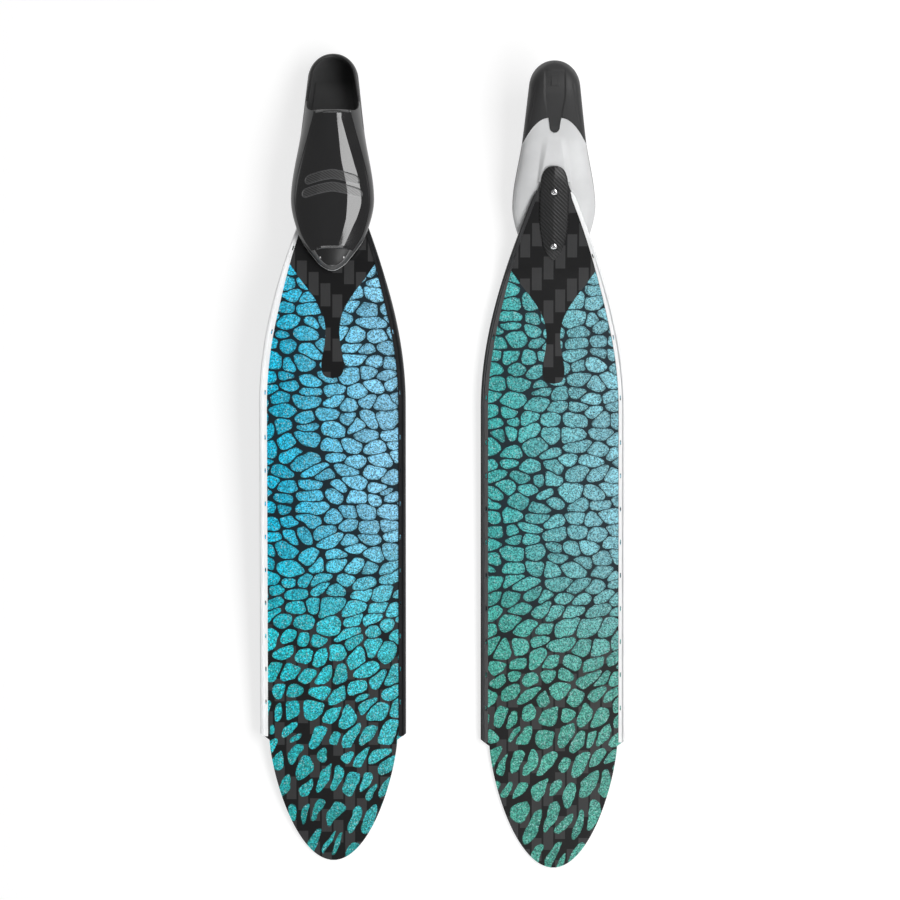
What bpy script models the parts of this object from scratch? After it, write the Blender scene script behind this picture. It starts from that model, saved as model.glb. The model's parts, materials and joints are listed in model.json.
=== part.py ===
"""Pair of long-blade freediving fins lying on the floor, one sole down and one sole up.

Metres, +Z up. Both fins are the same, so each piece is made once and used twice.

Fin frame: X across, Y towards the heel, Z towards the instep. The flat blade's mid-plane is z = 0
and the toe end of the foot pocket is at y = 0.
Pocket frame: X across, "along" runs on the sole from the toe end to the heel, "up" is square to
the sole. It is the fin frame turned about X by the blade angle, and its up = 0 plane is the
mid-plane of the blade's tang.
"""

import math

import bpy
import numpy as np
from mathutils import Matrix

# Blade
BLADE_ANGLE = math.radians(24.0)
BLADE_REACH = 0.784
BEND_HALF_LENGTH = 0.020
FIN_WIDTH = 0.1935
FLARE_LENGTH = 0.300
TANG_LENGTH = 0.1385
TANG_WIDTH = 0.0414
TIP_LENGTH = 0.162
TIP_WIDTH = 0.170
TIP_FULLNESS = 1.4
TIP_FLAT = 0.008
SHOULDER_LENGTH = 0.005
ROOT_THICKNESS = 0.0022
TIP_THICKNESS = 0.0010

# Edge rails: sizes on the blade, then the slimmer sizes beside the sole
RAIL_LIP = 0.0050
RAIL_WALL = 0.0046
RAIL_CROWN = 0.0052
RAIL_LIP_THICKNESS = 0.0014
RAIL_CHAMFER = 0.0008
TANG_RAIL_LIP = 0.0022
TANG_RAIL_WALL = 0.0026
TANG_RAIL_CROWN = 0.0027
RAIL_START_SETBACK = 0.0115
RAIL_SWELL_FROM = 0.085
RAIL_SWELL_TO = -0.060
WINDOW_LENGTH = 0.0065
WINDOW_WIDTH = 0.0016
WINDOW_PITCH = 0.0442
EVEN_WINDOWS = 9
SPREAD_WINDOWS = 3
WINDOW_SPREAD = 1.35
WINDOW_END_MARGIN = 0.051

# Foot pocket in plan: places from the toe end, or set back from the heel end, and full widths there
POCKET_LENGTH = 0.298
TOE_WIDTH = 0.022
FOREFOOT_AT = 0.052
FOREFOOT_WIDTH = 0.091
BALL_AT = 0.097
BALL_WIDTH = 0.110
WAIST_AT = 0.188
WAIST_WIDTH = 0.084
HEEL_SETBACK = 0.036
HEEL_WIDTH = 0.068
TOE_ROUNDING = 0.012
HEEL_ROUNDING = 0.038

# Foot pocket heights above the tang's mid-plane
TOE_HEIGHT = 0.015
LIP_AT = 0.0245
LIP_HEIGHT = 0.0285
BALL_HEIGHT = 0.047
OPENING_LENGTH = 0.106
INSTEP_HEIGHT = 0.072
CROWN_HEIGHT = 0.078
HEEL_TOP_HEIGHT = 0.064
TOE_GIRTH_HEIGHT = 0.0095
BALL_GIRTH_HEIGHT = 0.018
HEEL_GIRTH_HEIGHT = 0.027
ARCH_RISE = 0.005
HEEL_DROP = 0.001
SOLE_SQUARENESS = 3.4
INSTEP_SQUARENESS = 2.1

# Foot pocket walls, parting lines and opening
WALL = 0.0032
SOLE_THICKNESS = 0.0050
INSOLE_THICKNESS = 0.0030
TOE_PARTING_HEIGHT = 0.010
FOREFOOT_PARTING_HEIGHT = 0.0125
BALL_PARTING_HEIGHT = 0.0135
INSTEP_PARTING_HEIGHT = 0.0215
HEEL_RIM_HEIGHT = 0.051
SIDE_RIM_HEIGHT = 0.046
HEEL_CUSP_SETBACK = 0.070
HEEL_SIDE_SETBACK = 0.1167
HEEL_TONGUE_SETBACK = 0.0915
HEEL_TONGUE_WIDTH = 0.017
HEEL_TONGUE_TAPER = 0.0017
HEEL_EDGE_HEIGHT = 0.040
HEEL_EDGE_RISE = 0.004
HEEL_EDGE_SETBACK = 0.075
CAP_RECESS = 0.0010
CAP_THICKNESS = 0.0022

# Fixing: plate, screws and threaded inserts
PLATE_LENGTH = 0.134
PLATE_OVERHANG = 0.0245
PLATE_WIDTH = 0.0385
PLATE_RIDGE = 0.0048
PLATE_EDGE = 0.0020
PLATE_POINT_CURVE = (2.2, 0.6)
PLATE_BLUNT_CURVE = (5.0, 0.42)
SCREW_SPACING = 0.078
REAR_SCREW_SETBACK = 0.0115
SCREW_RADIUS = 0.0024
HEAD_RADIUS = 0.0047
HEAD_HEIGHT = 0.0026
HEAD_ROUNDING = 0.0011
SCREW_POINT = 0.0007
SOCKET_RADIUS = 0.0016
SOCKET_DEPTH = 0.0016
INSERT_RADIUS = 0.0042
FLANGE_RADIUS = 0.0072
FLANGE_THICKNESS = 0.0014
KEEL_LENGTH = 0.062
KEEL_WIDTH = 0.038
KEEL_TAIL_WIDTH = 0.012

# Placing and fit
FIN_SPACING = 0.2928
RIGHT_FIN_ADVANCE = -0.006
BALANCE_AT = -0.15
GAP = 0.0003
SCREW_GAP = 0.00012
SEAM = 0.00015

# Facets
POCKET_STATIONS = 22
POCKET_SIDES = 24
TIP_STATIONS = 14
RAIL_STATIONS = 26
RAIL_STATION_BIAS = 1.25
LINE_POINTS = 13
ARC_POINTS = 9
PLATE_STATIONS = 17
TURNED_SIDES = 20
SHARP_EDGE = math.radians(35.0)
SETTLE_STEPS = 20

# Sizes that follow from the ones above
TANG_END_Y = TANG_LENGTH * math.cos(BLADE_ANGLE)
RAIL_START_Y = TANG_END_Y - RAIL_START_SETBACK
RAIL_END_Y = TIP_LENGTH - BLADE_REACH
SOLE_BOTTOM = TANG_RAIL_CROWN + 2.0 * GAP
TANG_FACE = ROOT_THICKNESS / 2.0 + GAP
PLATE_TOP = -TANG_FACE
HEEL_AT = POCKET_LENGTH - HEEL_SETBACK
INSTEP_AT = POCKET_LENGTH - OPENING_LENGTH
HEEL_CUSP = POCKET_LENGTH - HEEL_CUSP_SETBACK
HEEL_SIDE = POCKET_LENGTH - HEEL_SIDE_SETBACK
HEEL_TONGUE = POCKET_LENGTH - HEEL_TONGUE_SETBACK
HEEL_EDGE_END = POCKET_LENGTH - HEEL_EDGE_SETBACK
PLATE_REAR = TANG_LENGTH + PLATE_OVERHANG
PLATE_FRONT = PLATE_REAR - PLATE_LENGTH
REAR_SCREW_AT = TANG_LENGTH - REAR_SCREW_SETBACK
FRONT_SCREW_AT = REAR_SCREW_AT - SCREW_SPACING
FAR = 2.0 * POCKET_LENGTH

COLOURS = {
    "blade": ((0.035, 0.30, 0.36), 0.25, 0.0),
    "white_rail": ((0.80, 0.80, 0.80), 0.45, 0.0),
    "black_rail": ((0.02, 0.02, 0.022), 0.45, 0.0),
    "upper": ((0.015, 0.015, 0.016), 0.18, 0.0),
    "outsole": ((0.72, 0.73, 0.74), 0.40, 0.0),
    "heel_cup": ((0.025, 0.025, 0.025), 0.70, 0.0),
    "toe_cap": ((0.02, 0.02, 0.02), 0.55, 0.0),
    "insole": ((0.04, 0.04, 0.042), 0.85, 0.0),
    "fixing_plate": ((0.05, 0.05, 0.052), 0.30, 0.0),
    "screw": ((0.75, 0.75, 0.76), 0.15, 1.0),
    "insert": ((0.70, 0.55, 0.25), 0.30, 1.0),
}


def curve_through(points):
    """Smooth curve through (position, value) points that never overshoots them (monotone cubic)."""
    at, value = np.array(sorted(points)).T
    steps = np.diff(at)
    slopes = np.diff(value) / steps
    tangents = np.concatenate(([slopes[0]], np.zeros(len(at) - 2), [slopes[-1]]))
    same_way = slopes[:-1] * slopes[1:] > 0
    joined = 2.0 * slopes[:-1] * slopes[1:] / np.where(same_way, slopes[:-1] + slopes[1:], 1.0)
    tangents[1:-1] = np.where(same_way, joined, 0.0)

    def curve(position):
        position = np.clip(position, at[0], at[-1])
        i = np.clip(np.searchsorted(at, position, side="right") - 1, 0, len(steps) - 1)
        t = (position - at[i]) / steps[i]
        start = value[i] * (1 + 2 * t) * (1 - t) ** 2 + tangents[i] * steps[i] * t * (1 - t) ** 2
        end = value[i + 1] * t * t * (3 - 2 * t) - tangents[i + 1] * steps[i] * t * t * (1 - t)
        return start + end

    return curve


def smooth_step(t):
    """Ease from 0 to 1 with level ends."""
    t = np.clip(t, 0.0, 1.0)
    return t * t * (3.0 - 2.0 * t)


def signed_power(value, power):
    """Power of the size of a value, with its sign kept."""
    return np.sign(value) * np.abs(value) ** power


pocket_half_width = curve_through([
    (0.0, TOE_WIDTH / 2),
    (FOREFOOT_AT, FOREFOOT_WIDTH / 2),
    (BALL_AT, BALL_WIDTH / 2),
    (WAIST_AT, WAIST_WIDTH / 2),
    (HEEL_AT, HEEL_WIDTH / 2),
])
pocket_top = curve_through([
    (0.0, TOE_HEIGHT),
    (LIP_AT, LIP_HEIGHT),
    (BALL_AT, BALL_HEIGHT),
    (INSTEP_AT, INSTEP_HEIGHT),
    ((INSTEP_AT + HEEL_AT) / 2, CROWN_HEIGHT),
    (POCKET_LENGTH, HEEL_TOP_HEIGHT),
])
pocket_girth = curve_through([
    (0.0, TOE_GIRTH_HEIGHT),
    (BALL_AT, BALL_GIRTH_HEIGHT),
    (INSTEP_AT, HEEL_GIRTH_HEIGHT),
    (POCKET_LENGTH, HEEL_GIRTH_HEIGHT),
])
pocket_bottom = curve_through([
    (0.0, SOLE_BOTTOM),
    (TANG_LENGTH, SOLE_BOTTOM),
    (INSTEP_AT, SOLE_BOTTOM + ARCH_RISE),
    (HEEL_AT, SOLE_BOTTOM - HEEL_DROP),
    (POCKET_LENGTH, SOLE_BOTTOM - HEEL_DROP),
])
parting_height = curve_through([
    (0.0, TOE_PARTING_HEIGHT),
    (FOREFOOT_AT, FOREFOOT_PARTING_HEIGHT),
    (BALL_AT, BALL_PARTING_HEIGHT),
    (INSTEP_AT, INSTEP_PARTING_HEIGHT),
])


def blade_height(y):
    """Mid-surface of the blade: level, then a parabolic bend, then straight down the tang."""
    into_bend = np.clip(y + BEND_HALF_LENGTH, 0.0, 2.0 * BEND_HALF_LENGTH)
    bend = into_bend ** 2 / (4.0 * BEND_HALF_LENGTH) + np.maximum(y - BEND_HALF_LENGTH, 0.0)
    return -math.tan(BLADE_ANGLE) * bend


def blade_slope(y):
    """Rise of the mid-surface for each metre towards the heel."""
    return -math.tan(BLADE_ANGLE) * np.clip((y + BEND_HALF_LENGTH) / (2.0 * BEND_HALF_LENGTH), 0.0, 1.0)


def blade_thickness(y):
    """Even taper from the root to the tip."""
    share = np.clip(-y / BLADE_REACH, 0.0, 1.0)
    return ROOT_THICKNESS + (TIP_THICKNESS - ROOT_THICKNESS) * share


def fin_half_width(y):
    """Outer face of the rails: a quarter sine wave from the tang, then parallel."""
    share = np.clip((TANG_END_Y - y) / FLARE_LENGTH, 0.0, 1.0)
    return (TANG_WIDTH + (FIN_WIDTH - TANG_WIDTH) * np.sin(share * math.pi / 2)) / 2


def rail_size(y, slim, full):
    """A rail size at y, easing from its slim value beside the sole to its full value."""
    return slim + (full - slim) * smooth_step((RAIL_SWELL_FROM - y) / (RAIL_SWELL_FROM - RAIL_SWELL_TO))


def blade_half_width(y):
    """Carbon edge inside the rail's groove."""
    return fin_half_width(y) - rail_size(y, TANG_RAIL_WALL, RAIL_WALL) - GAP


def lip_half_width(y):
    """Inner edge of the rail's lips."""
    return blade_half_width(y) - rail_size(y, TANG_RAIL_LIP, RAIL_LIP)


def tip_half_width(y):
    """Leaf-shaped tip beyond the rails."""
    share = np.clip((RAIL_END_Y - y) / TIP_LENGTH, 0.0, 1.0)
    return TIP_WIDTH / 2 * np.sqrt(np.maximum(1.0 - share ** TIP_FULLNESS, 0.0))


def make_mesh(name, vertices, faces):
    """Mesh data from arrays or lists of points and faces."""
    mesh = bpy.data.meshes.new(name)
    mesh.from_pydata([tuple(float(c) for c in v) for v in vertices], [], [tuple(f) for f in faces])
    mesh.validate()
    return mesh


def loop_faces(rings, sides):
    """Quads between closed rings of points, first ring to last."""
    quads = []
    for r in range(rings - 1):
        for s in range(sides):
            t = (s + 1) % sides
            quads.append((r * sides + s, r * sides + t, (r + 1) * sides + t, (r + 1) * sides + s))
    return quads


def loft(name, rings):
    """Closed body through rings of points that run anticlockwise seen from the last ring."""
    sides = len(rings[0])
    last = (len(rings) - 1) * sides
    faces = loop_faces(len(rings), sides)
    faces.append(range(sides - 1, -1, -1))
    faces.append(range(last, last + sides))
    return make_mesh(name, np.concatenate(rings), faces)


def prism(name, outline, direction):
    """Closed body from a flat outline, anticlockwise seen against the direction it is carried in."""
    outline = np.array(outline, float)
    return loft(name, [outline, outline + np.array(direction, float)])


def across(name, profile, half_width):
    """Prism across the pocket from a side profile of (along, up) points, anticlockwise seen from +X."""
    outline = [(-half_width, along, up) for along, up in profile]
    return prism(name, outline, (2.0 * half_width, 0.0, 0.0))


def turned(name, profile, closed):
    """Body turned about Z from (radius, height) points, outer side upwards."""
    turn = np.linspace(0.0, 2.0 * math.pi, TURNED_SIDES, endpoint=False)
    circle = np.column_stack((np.cos(turn), np.sin(turn), np.zeros(TURNED_SIDES)))
    rings = [circle * radius + (0.0, 0.0, height) for radius, height in profile]
    if closed:
        faces = loop_faces(len(rings) + 1, TURNED_SIDES)
        count = len(rings) * TURNED_SIDES
        return make_mesh(name, np.concatenate(rings), [[i % count for i in face] for face in faces])
    return loft(name, rings)


def moved(mesh, x=0.0, along=0.0, up=0.0):
    """The same mesh, carried by a distance."""
    mesh.transform(Matrix.Translation((x, along, up)))
    return mesh


def combined(mesh, other, operation):
    """Boolean of two closed meshes as a new mesh."""
    base = bpy.data.objects.new("base", mesh)
    tool = bpy.data.objects.new("tool", other)
    for thing in (base, tool):
        bpy.context.scene.collection.objects.link(thing)
    tool.hide_render = True
    tool.display_type = "WIRE"
    boolean = base.modifiers.new("boolean", "BOOLEAN")
    boolean.solver = "EXACT"
    boolean.operation = operation
    boolean.object = tool
    bpy.context.view_layer.update()
    result = bpy.data.meshes.new_from_object(base.evaluated_get(bpy.context.evaluated_depsgraph_get()))
    for thing in (base, tool):
        bpy.data.objects.remove(thing)
    return result


def pocket_body(name, inset, floor):
    """Whole shoe shape, set in from the outer skin: superellipse sections closing round toe and heel."""
    swing = np.linspace(0.0, math.pi, POCKET_STATIONS)[1:-1]
    toe = inset
    heel = POCKET_LENGTH - inset
    along = toe + (heel - toe) * (1.0 - np.cos(swing)) / 2
    toe_round = TOE_ROUNDING - inset / 2
    heel_round = HEEL_ROUNDING - inset
    from_toe = np.clip((toe + toe_round - along) / toe_round, 0.0, 1.0)
    from_heel = np.clip((along - heel + heel_round) / heel_round, 0.0, 1.0)
    close = np.sqrt((1.0 - from_toe ** 2) * (1.0 - from_heel ** 2))
    half = (pocket_half_width(along) - inset) * close
    girth = pocket_girth(along)
    above = (pocket_top(along) - inset - girth) * close
    below = (girth - pocket_bottom(along) - floor) * close
    turn = np.linspace(0.0, 2.0 * math.pi, POCKET_SIDES, endpoint=False)
    cosine, sine = np.cos(turn), np.sin(turn)
    squareness = np.where(sine > 0, INSTEP_SQUARENESS, SOLE_SQUARENESS)
    x = half[:, None] * signed_power(cosine, 2.0 / squareness)
    rise = np.where(sine > 0, above[:, None], below[:, None]) * signed_power(sine, 2.0 / squareness)
    up = girth[:, None] + rise
    rings = np.stack((x, np.broadcast_to(along[:, None], x.shape), up), axis=2)[:, ::-1]
    count = rings.shape[0] * POCKET_SIDES
    vertices = list(rings.reshape(-1, 3))
    vertices += [(0.0, toe, float(pocket_girth(toe))), (0.0, heel, float(pocket_girth(heel)))]
    faces = loop_faces(rings.shape[0], POCKET_SIDES)
    for s in range(POCKET_SIDES):
        t = (s + 1) % POCKET_SIDES
        faces.append((t, s, count))
        faces.append((count - POCKET_SIDES + s, count - POCKET_SIDES + t, count + 1))
    return make_mesh(name, vertices, faces)


def above_parting(offset):
    """Everything above the line where the upper meets the outsole."""
    along = np.linspace(0.0, INSTEP_AT, LINE_POINTS)
    line = [(a, h + offset) for a, h in zip(along, parting_height(along))]
    top = CROWN_HEIGHT + POCKET_LENGTH
    start = (-FAR, TOE_PARTING_HEIGHT + offset)
    end = (FAR, INSTEP_PARTING_HEIGHT + offset)
    profile = [start] + line + [end, (FAR, top), (-FAR, top)]
    return across("above_parting", profile, BALL_WIDTH)


def foot_opening():
    """The space above the rim of the foot opening."""
    dip = (INSTEP_AT + HEEL_AT) / 2
    corner = INSTEP_AT + WALL
    rim = curve_through([
        (corner, INSTEP_HEIGHT - 2.0 * WALL),
        (dip, SIDE_RIM_HEIGHT),
        (HEEL_AT, HEEL_RIM_HEIGHT - WALL / 2),
        (POCKET_LENGTH, HEEL_RIM_HEIGHT),
    ])
    along = np.linspace(corner, POCKET_LENGTH, LINE_POINTS)
    line = list(zip(along, rim(along)))
    top = CROWN_HEIGHT + POCKET_LENGTH
    profile = line + [(FAR, HEEL_RIM_HEIGHT), (FAR, top), (INSTEP_AT, top), (INSTEP_AT, INSTEP_HEIGHT - WALL)]
    return across("foot_opening", profile, BALL_WIDTH)


def heel_region(offset):
    """Everything behind the heel line: a tongue in the middle, an arch to each side, a low edge on each flank."""
    half_tongue = HEEL_TONGUE_WIDTH / 2
    side_x = WAIST_WIDTH / 2 + WALL / 2
    share = np.linspace(1.0, 0.0, ARC_POINTS)
    arch_x = half_tongue + (side_x - half_tongue) * share
    arch_along = HEEL_CUSP - (HEEL_CUSP - HEEL_SIDE) * share ** 2
    swing = np.linspace(0.0, math.pi / 2, ARC_POINTS)[:-1]
    tongue_x = (half_tongue - HEEL_TONGUE_TAPER) * np.cos(swing)
    tongue_along = HEEL_TONGUE + half_tongue * (1.0 - np.sin(swing))
    right = list(zip(arch_x, arch_along)) + list(zip(tongue_x, tongue_along))
    line = [(BALL_WIDTH, HEEL_SIDE)] + right + [(0.0, HEEL_TONGUE)]
    line += [(-x, along) for x, along in line[-2::-1]]
    outline = [(x, along + offset) for x, along in line] + [(-BALL_WIDTH, FAR), (BALL_WIDTH, FAR)]
    low, high = -SOLE_THICKNESS, CROWN_HEIGHT + SOLE_THICKNESS
    behind = prism("heel_region", [(x, along, low) for x, along in outline[::-1]], (0.0, 0.0, high - low))
    edge, edge_end = HEEL_EDGE_HEIGHT - offset, HEEL_EDGE_END + offset
    back = FAR + POCKET_LENGTH
    profile = [(0.0, 2.0 * low), (back, 2.0 * low), (back, 2.0 * high), (edge_end, 2.0 * high),
               (edge_end, edge + HEEL_EDGE_RISE), (HEEL_SIDE, edge), (0.0, edge)]
    return combined(behind, across("heel_flank", profile, 2.0 * BALL_WIDTH), "INTERSECT")


def ahead_of(along):
    """Everything nearer the toe than a place along the sole."""
    top = CROWN_HEIGHT
    return across("ahead", [(-FAR, -top), (along, -top), (along, top), (-FAR, top)], BALL_WIDTH)


def below_insole(top_offset):
    """Everything below a line that follows the sole at a height."""
    along = np.linspace(0.0, POCKET_LENGTH, LINE_POINTS)
    line = list(zip(along, pocket_bottom(along) + top_offset))
    profile = [(-FAR, -FAR), (FAR, -FAR), (FAR, line[-1][1])] + line[::-1] + [(-FAR, line[0][1])]
    return across("below_insole", profile, BALL_WIDTH)


def strip(name, along, half_widths, low, high):
    """Closed bar of changing width: a row of rectangles along the sole."""
    rings = []
    for a, half, base, top in zip(along, half_widths, low, high):
        rings.append(np.array([(-half, a, top), (half, a, top), (half, a, base), (-half, a, base)]))
    return loft(name, rings)


def pedestal():
    """Pad under the outsole that the tang sits against, between the rails' lips."""
    along = np.linspace(TOE_ROUNDING, TANG_LENGTH, ARC_POINTS)
    inside_lips = lip_half_width(along * math.cos(BLADE_ANGLE)) - 2.0 * GAP
    half = np.minimum(inside_lips, pocket_half_width(along) / 2)
    low, high = np.full(ARC_POINTS, TANG_FACE), np.full(ARC_POINTS, SOLE_BOTTOM + SOLE_THICKNESS / 2)
    return strip("pedestal", along, half, low, high)


def keel():
    """Raised middle of the outsole behind the tang, level with the plate and fading into the arch."""
    share = np.linspace(0.0, 1.0, ARC_POINTS)
    along = TANG_LENGTH + GAP + KEEL_LENGTH * share
    half = (KEEL_WIDTH + (KEEL_TAIL_WIDTH - KEEL_WIDTH) * share) / 2
    flat = (PLATE_REAR + 2.0 * GAP - TANG_LENGTH) / KEEL_LENGTH
    low = PLATE_TOP + GAP + (SOLE_BOTTOM + ARCH_RISE - PLATE_TOP) * smooth_step((share - flat) / (1.0 - flat))
    return strip("keel", along, half, low, pocket_bottom(along) + SOLE_THICKNESS / 2)


def bore(radius, low, high):
    """Round cutter for a hole or counterbore."""
    return turned("bore", [(radius, low), (radius, high)], closed=False)


def sole_top(along):
    """Inside face of the sole, where the inserts' flanges sit."""
    return float(pocket_bottom(along)) + SOLE_THICKNESS


def screw_seat(along):
    """Height of the counterbore's floor in the plate, under the screw's head."""
    return PLATE_TOP - plate_depth(along) + HEAD_HEIGHT


def rail_stations():
    """Places along the blade that the rails and the blade's edge share, closer together near the bend."""
    share = np.linspace(0.0, 1.0, RAIL_STATIONS) ** RAIL_STATION_BIAS
    return RAIL_START_Y + (RAIL_END_Y + SHOULDER_LENGTH - RAIL_START_Y) * share


def make_blade():
    """Carbon plate: outline and bend by formula, drilled for the screws."""
    flare = np.concatenate(([TANG_END_Y], rail_stations()))
    swing = np.linspace(0.0, math.pi / 2, TIP_STATIONS + 1)[:-1]
    tip = RAIL_END_Y - TIP_LENGTH * np.sin(swing)
    y = np.concatenate((flare, tip, [-BLADE_REACH]))
    half = np.concatenate((blade_half_width(flare), tip_half_width(tip), [TIP_FLAT / 2]))
    rings = []
    for at, x in zip(y[::-1], half[::-1]):
        slope = blade_slope(at)
        lift = blade_thickness(at) / 2 / math.hypot(1.0, slope)
        z = blade_height(at)
        top, base = (at - slope * lift, z + lift), (at + slope * lift, z - lift)
        rings.append(np.array([(-x, *top), (x, *top), (x, *base), (-x, *base)]))
    mesh = loft("blade", rings)
    for along in (FRONT_SCREW_AT, REAR_SCREW_AT):
        hole = moved(bore(SCREW_RADIUS + GAP, -ROOT_THICKNESS, ROOT_THICKNESS), along=along)
        hole.transform(Matrix.Rotation(-BLADE_ANGLE, 4, "X"))
        mesh = combined(mesh, hole, "DIFFERENCE")
    return mesh


def rail_profile(y):
    """Grooved rail section: (outwards from the blade's edge, up) points, anticlockwise from the tang."""
    lip = rail_size(y, TANG_RAIL_LIP, RAIL_LIP)
    outer = GAP + rail_size(y, TANG_RAIL_WALL, RAIL_WALL)
    crown = rail_size(y, TANG_RAIL_CROWN, RAIL_CROWN)
    groove = blade_thickness(y) / 2 + GAP
    lip_top = min(groove + RAIL_LIP_THICKNESS, crown)
    upper = [(GAP, groove), (-lip, groove), (-lip, lip_top), (0.0, lip_top), (GAP + RAIL_CHAMFER, crown),
             (outer - RAIL_CHAMFER, crown), (outer, crown - RAIL_CHAMFER)]
    return upper + [(out, -up) for out, up in upper[::-1]]


def make_rail(name, side):
    """Grooved strip swept along one edge of the blade, with windows through its lips."""
    y = rail_stations()
    nudge = BEND_HALF_LENGTH / 100
    spread = (blade_half_width(y + nudge) - blade_half_width(y - nudge)) / (2.0 * nudge)
    rings = []
    for at, widen in zip(y, spread):
        slope = float(blade_slope(at))
        run = np.array((widen, 1.0, slope))
        normal = np.array((0.0, -slope, 1.0)) / math.hypot(1.0, slope)
        out = np.cross(run, normal)
        out /= np.linalg.norm(out)
        edge = np.array((float(blade_half_width(at)), at, float(blade_height(at))))
        ring = np.array([edge + out * o + normal * n for o, n in rail_profile(at)])
        rings.append(ring * (side, 1.0, 1.0))
    if side > 0:
        rings = rings[::-1]
    mesh = loft(name, rings)
    for at in window_places():
        mesh = combined(mesh, rail_window(at, side), "DIFFERENCE")
    return mesh


def window_places():
    """Windows at an even pitch from the rail's lower end, then ever wider apart towards the sole."""
    even = [WINDOW_PITCH] * (EVEN_WINDOWS - 1)
    wider = [WINDOW_PITCH * WINDOW_SPREAD ** (k + 1) for k in range(SPREAD_WINDOWS)]
    return RAIL_END_Y + WINDOW_END_MARGIN + np.cumsum([0.0] + even + wider)


def rail_window(y, side):
    """Cutter for one slot through both lips of a rail, square to the blade there."""
    middle = blade_half_width(y) - rail_size(y, TANG_RAIL_LIP, RAIL_LIP) / 2
    reach = RAIL_CROWN * 2.0
    half_x, half_y = WINDOW_WIDTH / 2, WINDOW_LENGTH / 2
    corners = ((-half_x, half_y), (half_x, half_y), (half_x, -half_y), (-half_x, -half_y))
    cutter = prism("window", [(x, along, -reach) for x, along in corners], (0.0, 0.0, 2.0 * reach))
    widen = math.atan2(blade_half_width(y - half_y) - blade_half_width(y + half_y), WINDOW_LENGTH)
    cutter.transform(Matrix.Rotation(side * widen, 4, "Z"))
    cutter.transform(Matrix.Rotation(math.atan(blade_slope(y)), 4, "X"))
    return moved(cutter, side * middle, y, blade_height(y))


def make_pocket():
    """The foot pocket's shells, split from one shoe shape along its parting lines."""
    shell = combined(pocket_body("outer", 0.0, 0.0), pocket_body("inner", WALL, SOLE_THICKNESS), "DIFFERENCE")
    shell = combined(shell, foot_opening(), "DIFFERENCE")
    heel_cup = combined(shell, heel_region(SEAM), "INTERSECT")
    front = combined(shell, heel_region(-SEAM), "DIFFERENCE")
    upper = combined(front, above_parting(SEAM), "INTERSECT")
    upper = combined(upper, ahead_of(LIP_AT + SEAM), "DIFFERENCE")
    outsole = combined(shell, above_parting(-SEAM), "DIFFERENCE")
    outsole = combined(outsole, pedestal(), "UNION")
    outsole = combined(outsole, keel(), "UNION")
    outsole = combined(outsole, heel_region(-SEAM), "DIFFERENCE")
    for along in (FRONT_SCREW_AT, REAR_SCREW_AT):
        top = sole_top(along)
        hole = moved(bore(INSERT_RADIUS + GAP, 0.0, top + WALL), along=along)
        seat = moved(bore(FLANGE_RADIUS + GAP, top - FLANGE_THICKNESS - GAP, top + WALL), along=along)
        outsole = combined(combined(outsole, hole, "DIFFERENCE"), seat, "DIFFERENCE")
    cap = combined(
        pocket_body("cap_skin", CAP_RECESS, 0.0),
        pocket_body("cap_inside", CAP_RECESS + CAP_THICKNESS, 0.0),
        "DIFFERENCE",
    )
    cap = combined(cap, above_parting(SEAM), "INTERSECT")
    cap = combined(cap, ahead_of(LIP_AT - SEAM), "INTERSECT")
    insole = combined(
        pocket_body("footbed", WALL + GAP, SOLE_THICKNESS + GAP),
        below_insole(SOLE_THICKNESS + INSOLE_THICKNESS),
        "INTERSECT",
    )
    return {"upper": upper, "outsole": outsole, "heel_cup": heel_cup, "toe_cap": cap, "insole": insole}


def plate_half_width(along):
    """Plate outline: pointed at the toe end, blunt at the heel end."""
    middle = (PLATE_FRONT + PLATE_REAR) / 2
    half_length = (PLATE_REAR - PLATE_FRONT) / 2
    share = np.clip((along - middle) / half_length, -1.0, 1.0)
    pointed = (1.0 - np.abs(share) ** PLATE_POINT_CURVE[0]) ** PLATE_POINT_CURVE[1]
    blunt = (1.0 - np.abs(share) ** PLATE_BLUNT_CURVE[0]) ** PLATE_BLUNT_CURVE[1]
    return PLATE_WIDTH / 2 * np.where(share < 0, pointed, blunt)


def plate_depth(along):
    """Thickness at the ridge, thinning towards both ends."""
    share = plate_half_width(along) * 2.0 / PLATE_WIDTH
    return PLATE_EDGE + (PLATE_RIDGE - PLATE_EDGE) * float(smooth_step(share))


def make_plate():
    """Fixing plate: flat against the tang, roof-shaped below, with counterbored screw holes."""
    swing = np.linspace(0.0, math.pi, PLATE_STATIONS)[1:-1]
    stations = PLATE_FRONT + (PLATE_REAR - PLATE_FRONT) * (1.0 - np.cos(swing)) / 2
    rings = []
    for along, half in zip(stations, plate_half_width(stations)):
        edge, ridge = PLATE_TOP - PLATE_EDGE, PLATE_TOP - plate_depth(along)
        rings.append(np.array([
            (-half, along, PLATE_TOP), (half, along, PLATE_TOP), (half, along, edge), (0.0, along, ridge),
            (-half, along, edge),
        ]))
    mesh = loft("fixing_plate", rings)
    for along in (FRONT_SCREW_AT, REAR_SCREW_AT):
        hole = moved(bore(SCREW_RADIUS + SCREW_GAP, -PLATE_WIDTH, PLATE_WIDTH), along=along)
        seat = moved(bore(HEAD_RADIUS + GAP, -PLATE_WIDTH, screw_seat(along) + SCREW_GAP), along=along)
        mesh = combined(combined(mesh, hole, "DIFFERENCE"), seat, "DIFFERENCE")
    return mesh


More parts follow.
